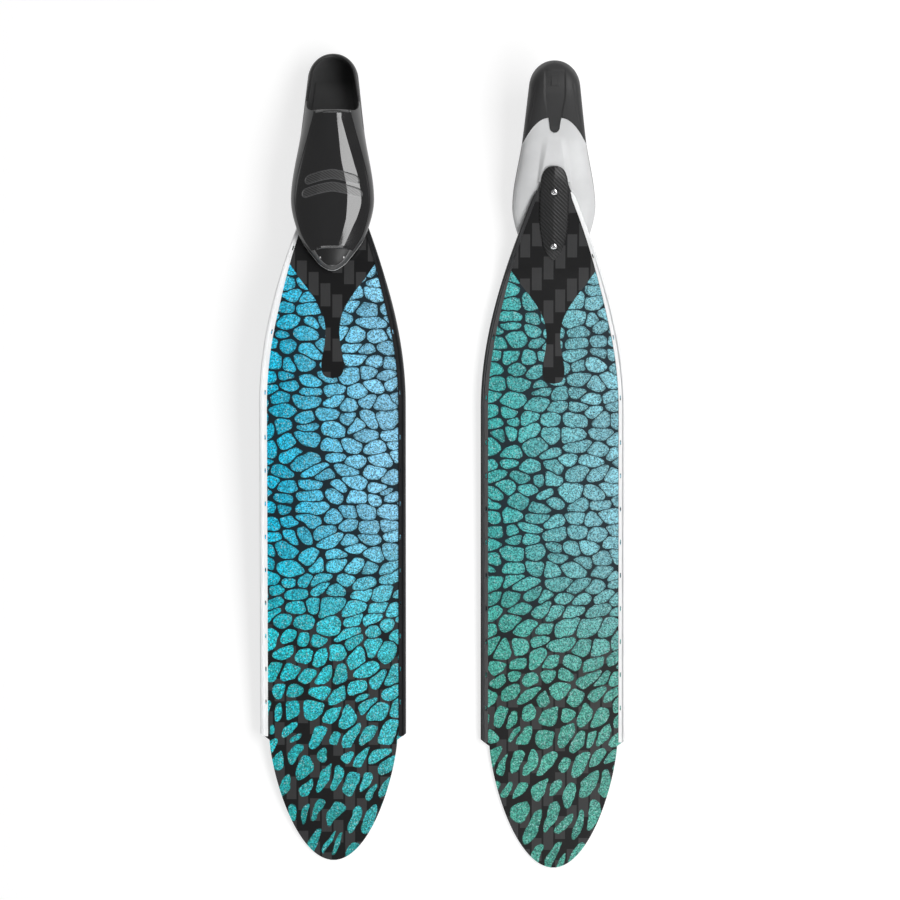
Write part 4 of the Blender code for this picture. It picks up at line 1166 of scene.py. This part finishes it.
def make_outsole(side):
    """White sole shell from toe to heel line: skin and lining at the same angles, built down for pad and keel."""
    share = shell_shares(170, sole_turn)
    along = sole_rows(heel_line_along(share, sole_turn) - SEAM)
    turn = sole_turn(along, share)
    outer = skin(along, turn)
    outer[..., 2] -= keel_depth(outer[..., 0], along) * underside(turn)
    lip = SOLE_LIP * bump_at(along, along[-1], SOLE_LIP_WIDTH)
    outer = outer + lip[..., None] * outwards(turn)
    inner = skin(inner_along(along), turn, WALL, SOLE_THICKNESS)
    part = open_rows(along[:, -1], parting_height(along[:, -1]) - SEAM)
    edges = [("last_row", EVERY), ("first_column", part), ("last_column", part)]
    sheets = shell_sheets(outer, inner, edges, SOLE_EDGE)
    return make_piece("sole_shell", side, "pocket", sheets, ["white_sole", "footbed"], "outsole")


heel_panel_half = curve_through([(0.205, 0.0105), (0.233, 0.0102), (0.262, 0.0142), (0.298, 0.0142)])


def heel_relief(points, along, turn):
    """Relief under the heel: a sunk middle panel with a raised tab in it, and a groove low on each side."""
    x = np.abs(points[..., 0])
    panel = smooth_step((heel_panel_half(along) - x) / HEEL_PANEL_SIDE_EASE)
    panel = panel * smooth_step((HEEL_PANEL_END - along) / HEEL_PANEL_END_EASE)
    panel = panel * smooth_step((along - HEEL_PANEL_START) / HEEL_PANEL_START_EASE)
    tab = smooth_step((HEEL_TAB_HALF_WIDTH - x) / HEEL_TAB_EASE)
    tab = tab * smooth_step((along - HEEL_TAB_FROM) / HEEL_TAB_EASE)
    tab = tab * smooth_step((HEEL_TAB_TO - along) / HEEL_TAB_EASE)
    run = smooth_step((along - HEEL_GROOVE_START) / HEEL_GROOVE_START_EASE)
    run = run * smooth_step((HEEL_GROOVE_END - along) / HEEL_GROOVE_END_EASE)
    groove = bump_at(x, np.interp(along, *HEEL_GROOVE_LINE), HEEL_GROOVE_WIDTH) * run * (np.sin(turn) < 0)
    return underside(turn) * (HEEL_PANEL_DEPTH * panel - HEEL_TAB_RISE * tab) + HEEL_GROOVE_DEPTH * groove


def make_heel_cup(side):
    """Black heel from the heel line to the back: skin and lining at the same angles, sine steps to the pole."""
    share = shell_shares(170, heel_turn)
    start = heel_line_along(share, heel_turn) + SEAM
    along = start + (POCKET_LENGTH - start) * np.sin(np.linspace(0.0, math.pi / 2, 90))[:, None]
    turn = heel_turn(along, share)
    outer = skin(along, turn)
    outer = outer - heel_relief(outer, along, turn)[..., None] * outwards(turn)
    inner = skin(inner_along(along), turn, WALL, SOLE_THICKNESS)
    part = open_rows(along[:, -1], heel_top_height(along[:, -1]) - SEAM)
    edges = [("first_row", EVERY), ("first_column", part), ("last_column", part)]
    sheets = shell_sheets(outer, inner, edges, HEEL_EDGE)
    return make_piece("heel_shell", side, "pocket", sheets, ["matte_heel", "footbed"], "heel_cup")


panel_edge = curve_through([
    (0.024, 0.0075), (0.034, 0.0105), (0.053, 0.0158), (0.069, 0.0197), (0.084, 0.0217), (0.110, 0.0180),
    (0.139, 0.0118), (0.169, 0.0085), (0.192, 0.0060),
])
bevel_edge = curve_through([
    (0.024, 0.0135), (0.034, 0.0182), (0.053, 0.0270), (0.069, 0.0340), (0.088, 0.0385), (0.110, 0.0360),
    (0.139, 0.0276), (0.169, 0.0184), (0.192, 0.0118),
])


def top_height(x, along, inset=0.0):
    """Height of the skin over a place across: girth plus rise times (1 - share^n)^(1/n)."""
    close = closing(along, inset)
    half = (pocket_half_width(along) - inset) * close
    girth = pocket_girth(along)
    rise = (pocket_top(along) - inset - girth) * close
    share = np.clip(np.abs(x) / half, 0.0, 1.0)
    return girth + rise * (1.0 - share ** INSTEP_SQUARENESS) ** (1.0 / INSTEP_SQUARENESS)


def facet_shares():
    """Steps across the upper: panel 0 to 1, bevel 1 to 2 and flank 2 to 3 each way, closer beside the creases."""
    near = np.array([0.03, 0.07, 0.13])
    third = np.concatenate(([0.0], near, np.linspace(0.2, 0.8, 13), 1.0 - near[::-1]))
    half = np.concatenate((third, third + 1.0, third + 2.0, [3.0]))
    return np.concatenate((-half[:0:-1], half))


def faceted_top(along, share, inset):
    """Upper's face: straight chords between panel, bevel and crease lines, bowed a third of the way to the skin."""
    crease = skin(along, turn_at_height(along, crease_height(along)), inset)
    crease_x = crease[..., 0]
    knots = np.stack((0.0 * along, np.minimum(panel_edge(along), crease_x * PANEL_LIMIT),
                      np.minimum(bevel_edge(along), crease_x * BEVEL_LIMIT), crease_x))
    heights = np.stack([top_height(knot, along, inset) for knot in knots[:3]] + [crease[..., 2]])
    heights[0] = heights[1] + (heights[0] - heights[1]) * PANEL_CROWN
    size = np.abs(share)
    part = np.clip(np.floor(size).astype(int), 0, 2)
    local = size - part
    row = np.arange(along.shape[0])[:, None]
    low_x, high_x = knots[part, row, 0], knots[part + 1, row, 0]
    low_h, high_h = heights[part, row, 0], heights[part + 1, row, 0]
    x = low_x + (high_x - low_x) * local
    chord = low_h + (high_h - low_h) * np.where(part == 0, local ** 2, local)
    bow = np.where(part == 0, 0.0, FACET_BOW) * smooth_step((1.0 - local) / 0.2)
    bowed = chord + (top_height(x, along, inset) - chord) * bow
    rear = smooth_step((along - INSTEP_AT + OPENING_BOW_LEAD) / (OPENING_AT - INSTEP_AT + OPENING_BOW_LEAD))
    back = along - OPENING_BOW * rear * (1.0 - (x / knots[3]) ** 2)
    return points_of(np.sign(share) * x, back, bowed)


def pad_distance(x, along):
    """Signed distance to the instep pads: two bands across the instep, bent like a shallow V, with round ends."""
    bend = PAD_BEND * np.sqrt(x ** 2 + PAD_BEND_ROUNDING ** 2)
    bands = [np.hypot(np.maximum(np.abs(x) - half, 0.0), along - at + bend) - PAD_HALF_WIDTH for at, half in PAD_BANDS]
    return np.minimum(*bands)


def upper_rows():
    """Places along the upper: even to the opening's lip, close on it and round the corner, then even to the end."""
    lip = OPENING_AT - OPENING_LIP
    front = np.concatenate((np.linspace(LIP_AT + SEAM, lip, 170)[:-1], np.linspace(lip, OPENING_AT, 12)))
    swing = np.linspace(0.0, math.pi / 2, 24)[1:]
    corner = OPENING_AT + OPENING_CORNER * (1.0 - np.cos(swing))
    tail = np.linspace(corner[-1], HEEL_EDGE_END + HEEL_EDGE_EASE, 30)[1:]
    return front[:, None], np.concatenate((front, corner, tail))[:, None]


def upper_relief(front, share, points):
    """Heights added to the upper's face: pads and toe bead stand up, the opening's lip rolls down as a parabola."""
    x, along = points[..., 0], points[..., 1]
    pads = PAD_RISE * smooth_step((PAD_EASE / 2 - pad_distance(x, along)) / PAD_EASE)
    bead = TOE_BEAD_HEIGHT * bump_at(front, TOE_BEAD_AT, TOE_BEAD_WIDTH)
    bead = bead * smooth_step((TOE_BEAD_HALF_LENGTH - np.abs(x)) / TOE_BEAD_FADE)
    past = np.maximum(front - OPENING_AT + OPENING_LIP, 0.0)
    roll = OPENING_LIP_SLOPE * past + OPENING_LIP_CURL * past ** 2 / OPENING_LIP
    return pads + bead - roll * smooth_step((3.0 - np.abs(share)) / 0.2)


def make_upper(side):
    """Gloss black upper: a faceted face from toe lip to opening, pads standing up on it, a smooth wall each side."""
    front, along = upper_rows()
    share = facet_shares()[None, :]
    outer, inner = faceted_top(front, share, 0.0), faceted_top(front, share, UPPER_WALL)
    outer[..., 2] += upper_relief(front, share, outer)
    sheets = shell_sheets(outer, inner, [("first_row", EVERY), ("last_row", EVERY)], UPPER_EDGE)
    edge_height = upper_edge_height(along)
    low = turn_at_height(along, np.minimum(upper_low_height(along + SEAM) + SEAM, edge_height))
    high = turn_at_height(along, edge_height)
    turn = low + (high - low) * np.linspace(0.0, 1.0, 30)[None, :]
    edges = [("first_row", EVERY), ("first_column", EVERY), ("last_column", slice(len(front) - 1, None))]
    for way in (1.0, -1.0):
        wall, lining = (skin(along, turn, inset) * (way, 1.0, 1.0) for inset in (0.0, UPPER_WALL))
        sheets += shell_sheets(wall, lining, edges, FLANK_EDGE, finishes=(2, 1, 2))
    points = sheet_points(sheets)
    return make_piece("upper_shell", side, "pocket", sheets, ["gloss_upper", "footbed", "satin_flank"], "upper",
                      {"pad": pad_distance(points[:, 0], points[:, 1])})


toe_panel_half = curve_through([
    (0.0048, 0.0), (0.0056, 0.0060), (0.0075, 0.0098), (0.0120, 0.0150), (0.0180, 0.0196), (LIP_AT, 0.0236),
])


def toe_panel_distance(x, along):
    """Distance inside the toe panel's shield-shaped outline, less than nothing on the rim round it."""
    return np.minimum((toe_panel_half(along) - np.abs(x)) * 0.8, along - TOE_PANEL_START)


def make_toe_cap(side):
    """Toe cap from the parting line to the upper's lip: the skin, with a shield-shaped panel sunk into its top."""
    dense = np.linspace(0.0, LIP_AT, 3001)
    first = dense[np.argmax(turn_at_height(dense, parting_height(dense) + SEAM) < NEARLY_QUARTER_TURN)]
    along = first + (LIP_AT - SEAM - first) * np.linspace(0.0, 1.0, 90)[:, None] ** 1.5
    low = turn_at_height(along, parting_height(along) + SEAM)
    turn = low + (math.pi - 2.0 * low) * np.linspace(0.0, 1.0, 161)[None, :]
    outer = skin(along, turn)
    inside = toe_panel_distance(outer[..., 0], outer[..., 1])
    bead = TOE_RIM_BEAD * bump_at(inside, -0.0005, 0.0006)
    outer[..., 2] += bead - CAP_RECESS * smooth_step(inside / TOE_PANEL_EASE)
    inner = skin(along, turn, CAP_RECESS + CAP_THICKNESS)
    sheets = shell_sheets(outer, inner, ALL_EDGES, TOE_CAP_EDGE)
    x, along, _ = sheet_points(sheets).T
    # Two small painted glints, kept as a field for the finish; the surface has no bump there.
    painted_glint = np.hypot((np.abs(x) - GLINT_X) / GLINT_STRETCH, along - GLINT_AT) - GLINT_RADIUS
    fields = {"painted_glint": painted_glint, "inside": toe_panel_distance(x, along)}
    return make_piece("toe_panel", side, "pocket", sheets, ["toe_panel", "footbed"], "toe_cap", fields)


def footbed_half_width(along, height):
    """Half width of the lining at a height: superellipse section of the inner shoe shape."""
    inset = WALL + GAP
    close = closing(along, inset)
    half = (pocket_half_width(along) - inset) * close
    girth = pocket_girth(along)
    below = np.maximum((girth - pocket_bottom(along) - SOLE_THICKNESS - GAP) * close, TINY)
    share = np.clip((girth - height) / below, 0.0, 1.0)
    return half * (1.0 - share ** SOLE_SQUARENESS) ** (1.0 / SOLE_SQUARENESS)


def make_footbed(side):
    """Foam footbed: top and bottom sheets over the sole, cupped by the fourth power of the share across."""
    dense = np.linspace(0.0, POCKET_LENGTH, 6001)
    base_height = SOLE_THICKNESS + 2.0 * GAP
    held = dense[footbed_half_width(dense, pocket_bottom(dense) + base_height) > FOOTBED_LEAST_HALF_WIDTH]
    middle, reach = (held[0] + held[-1]) / 2, (held[-1] - held[0]) / 2
    along = middle - reach * np.cos(np.linspace(0.0, math.pi, 180))[:, None]
    share = np.linspace(-1.0, 1.0, 41)[None, :]
    base_up = pocket_bottom(along) + base_height
    base_half = footbed_half_width(along, base_up) * FOOTBED_EASE
    base = points_of(base_half * share, along, base_up)
    top_half = footbed_half_width(along, base_up + INSOLE_THICKNESS) * FOOTBED_EASE
    top = points_of(top_half * share, along, base_up + INSOLE_THICKNESS * 0.8 + FOOTBED_CUP * share ** 4)
    sheets = shell_sheets(top, base, ALL_EDGES, 0.0, finishes=(0, 0, 0))
    piece = make_piece("footbed", side, "pocket", sheets, ["footbed"], "insole")
    return piece


def make_plate(side):
    """Fixing plate: flat above, a rounded roof ridge below, its edge eased; counterbored for the screws."""
    swing = np.linspace(0.0, math.pi, 121)[:, None]
    along = PLATE_FRONT + (PLATE_REAR - PLATE_FRONT) * (1.0 - np.cos(swing)) / 2
    share = np.linspace(-1.0, 1.0, 45)[None, :]
    eased = np.sign(share) * (1.0 - (1.0 - np.abs(share)) ** 1.25)
    roof = np.sqrt(share ** 2 + PLATE_RIDGE_ROUNDING ** 2) - PLATE_RIDGE_ROUNDING * (1.0 - np.abs(share))
    rounding = np.maximum(np.abs(eased) - PLATE_ROUND_FROM, 0.0) ** 2 / PLATE_ROUND_SHARE ** 2
    edge_drop = PLATE_EDGE * np.sqrt(np.clip(1.0 - rounding, 0.0, 1.0))
    depth = edge_drop + (plate_depth(along) - PLATE_EDGE) * (1.0 - np.clip(roof, 0.0, 1.0))
    x = plate_half_width(along) * eased
    face, back = points_of(x, along, PLATE_TOP - depth), points_of(x, along, PLATE_TOP)
    edges = [("first_column", EVERY), ("last_column", EVERY)]
    sheets = shell_sheets(face, back, edges, 0.0, finishes=(0, 0, 0))
    piece = make_piece("carbon_fixing_plate", side, "pocket", sheets, ["carbon_plate"], "fixing_plate")
    hole, head = SCREW_RADIUS + SCREW_GAP, HEAD_RADIUS + GAP
    over, under = 0.01, -0.02
    for at in (FRONT_SCREW_AT, REAR_SCREW_AT):
        seat = screw_seat(at) + SCREW_GAP
        profile = [(0.0, over), (hole, over), (hole, seat), (head, seat), (head, under), (0.0, under)]
        cut_away(piece, side, "pocket", [lathe(profile, at)])
    return piece


def make_screw(side, end, at):
    """Domed screw turned about its axis, with a six-sided socket and a helical thread on the shank."""
    seat = screw_seat(at)
    top = float(pocket_bottom(np.array(at))) + SOLE_THICKNESS - seat - GAP
    face = -HEAD_HEIGHT
    crown_start = SOCKET_RADIUS * 1.15
    crown = HEAD_RADIUS - crown_start
    head = [(0.0, face + SOCKET_DEPTH), (SOCKET_RADIUS, face + SOCKET_DEPTH), (SOCKET_RADIUS, face + HEAD_EDGE),
            (SOCKET_RADIUS * 1.12, face)]
    head += [(crown_start + crown * math.sin(angle), face * (HEAD_RIM_SHARE + (1.0 - HEAD_RIM_SHARE) * math.cos(angle)))
             for angle in np.linspace(0.0, math.pi / 2, 12)]
    head += [(HEAD_RADIUS, -HEAD_EDGE), (HEAD_RADIUS - HEAD_EDGE, 0.0), (SCREW_RADIUS, 0.0)]
    shank = [(SCREW_RADIUS, height) for height in np.arange(0.0004, top - 0.0008, 0.0001)]
    tail = [(SCREW_RADIUS, top - SCREW_POINT), (SCREW_RADIUS - SCREW_POINT, top), (0.0, top)]
    grid = lathe(head + shank + tail)
    angle = np.linspace(0.0, 2.0 * math.pi, grid.shape[1])
    hexagon = math.cos(math.pi / 6) / np.cos(np.mod(angle, math.pi / 3) - math.pi / 6)
    grid[1:4, :, :2] *= hexagon[None, :, None]
    up = grid[..., 2]
    wound = np.abs(np.mod(up / THREAD_PITCH - angle / (2.0 * math.pi), 1.0) - 0.5) * 2.0
    on_shank = smooth_step((up - THREAD_RUN_OUT) / THREAD_RUN_OUT)
    on_shank = on_shank * smooth_step((top - 0.0010 - up) / THREAD_RUN_OUT)
    grid[..., :2] *= (1.0 - THREAD_DEPTH * wound * on_shank)[..., None]
    grid[:, -1] = grid[:, 0]
    grid = grid + (0.0, at, seat)
    return make_piece(f"{end}_socket_screw", side, "pocket", [(grid, 0)], ["polished_steel"], f"{end}_screw",
                      body=f"{end}_screw")


for fin_side in ("left", "right"):
    make_blade(fin_side)
    make_rail(fin_side, "white", -1.0)
    make_rail(fin_side, "black", 1.0)
    for make_shell in (make_outsole, make_heel_cup, make_upper, make_toe_cap, make_footbed, make_plate):
        make_shell(fin_side)
    for screw_end, screw_at in (("front", FRONT_SCREW_AT), ("rear", REAR_SCREW_AT)):
        make_screw(fin_side, screw_end, screw_at)
        insert = frame["nodes"][f"{fin_side}_{screw_end}_insert"]
        insert.data.materials.clear()
        insert.data.materials.append(FINISHES["brass_insert"])


# Stage, light and camera

def floor_finish():
    """White floor that keeps soft shadows: diffuse, plus a glow that only the camera and mirrors see."""
    material = bpy.data.materials.new("studio_floor")
    material.use_nodes = True
    tree = material.node_tree
    tree.nodes.clear()
    output, total, paint, glow, path, seen, mirrored, level = (
        tree.nodes.new("ShaderNode" + kind)
        for kind in ("OutputMaterial", "AddShader", "BsdfDiffuse", "Emission", "LightPath", "Math", "Math", "Math"))
    paint.inputs["Color"].default_value = (FLOOR_SHADE, FLOOR_SHADE, FLOOR_SHADE, 1.0)
    seen.operation = mirrored.operation = "MAXIMUM"
    level.operation = "MULTIPLY"
    level.inputs[1].default_value = FLOOR_GLOW
    for start, end in (
        (path.outputs["Is Camera Ray"], seen.inputs[0]), (path.outputs["Is Glossy Ray"], seen.inputs[1]),
        (seen.outputs[0], mirrored.inputs[0]), (path.outputs["Is Transmission Ray"], mirrored.inputs[1]),
        (mirrored.outputs[0], level.inputs[0]), (level.outputs[0], glow.inputs["Strength"]),
        (paint.outputs[0], total.inputs[0]), (glow.outputs[0], total.inputs[1]),
        (total.outputs[0], output.inputs["Surface"]),
    ):
        tree.links.new(start, end)
    return material


def make_floor(half_side):
    """Level square under the object."""
    corners = [(x * half_side, y * half_side, 0.0) for x, y in ((-1, -1), (1, -1), (1, 1), (-1, 1))]
    mesh = bpy.data.meshes.new("studio_floor")
    mesh.from_pydata(corners, [], [(0, 1, 2, 3)])
    mesh.materials.append(floor_finish())
    floor = bpy.data.objects.new("studio_floor", mesh)
    bpy.context.scene.collection.objects.link(floor)
    floor.location.z = FLOOR_LEVEL


def make_sky(level):
    """Dim even light from above, white in a low band round the horizon."""
    world = bpy.data.worlds.new("studio")
    bpy.context.scene.world = world
    world.use_nodes = True
    tree = world.node_tree
    light = tree.nodes["Background"]
    place, parts, strength = (tree.nodes.new("ShaderNode" + kind) for kind in ("TexCoord", "SeparateXYZ", "MapRange"))
    for socket, value in enumerate((HORIZON_BAND, HORIZON_BAND * 1.5, 1.0, level), 1):
        strength.inputs[socket].default_value = value
    tree.links.new(place.outputs["Generated"], parts.inputs[0])
    tree.links.new(parts.outputs["Z"], strength.inputs[0])
    tree.links.new(strength.outputs[0], light.inputs["Strength"])
    light.inputs["Color"].default_value = (1.0, 1.0, 1.0, 1.0)


def make_softbox(name, place, level_side, rising_side, power):
    """Rectangular lamp facing the middle of the object, with one side level."""
    lamp = bpy.data.lights.new(name, "AREA")
    lamp.shape = "RECTANGLE"
    lamp.size = level_side
    lamp.size_y = rising_side
    lamp.energy = power
    softbox = bpy.data.objects.new(name, lamp)
    softbox.location = place
    softbox.rotation_euler = (-Vector(place)).to_track_quat("-Z", "Y").to_euler()
    bpy.context.scene.collection.objects.link(softbox)


def make_camera(x, y, height, lens):
    """Camera straight above the pair, heels at the top of the picture."""
    data = bpy.data.cameras.new("camera")
    data.lens = lens
    data.sensor_width = 36.0
    data.clip_end = 100.0
    camera = bpy.data.objects.new("camera", data)
    camera.location = (x, y, height)
    bpy.context.scene.collection.objects.link(camera)
    bpy.context.scene.camera = camera


bpy.context.scene.view_settings.view_transform = "Standard"
make_floor(half_side=9.0)
make_sky(level=0.20)
make_softbox("key_right", (1.06, 0.0, 1.84), level_side=2.8, rising_side=1.0, power=45.0)
make_softbox("fill_heels", (0.0, 2.20, 1.30), level_side=3.0, rising_side=0.45, power=10.0)
make_softbox("fill_tips", (0.0, -2.20, 1.30), level_side=3.0, rising_side=0.45, power=10.0)
make_camera(x=0.0088, y=0.0150, height=7.04, lens=211.1)
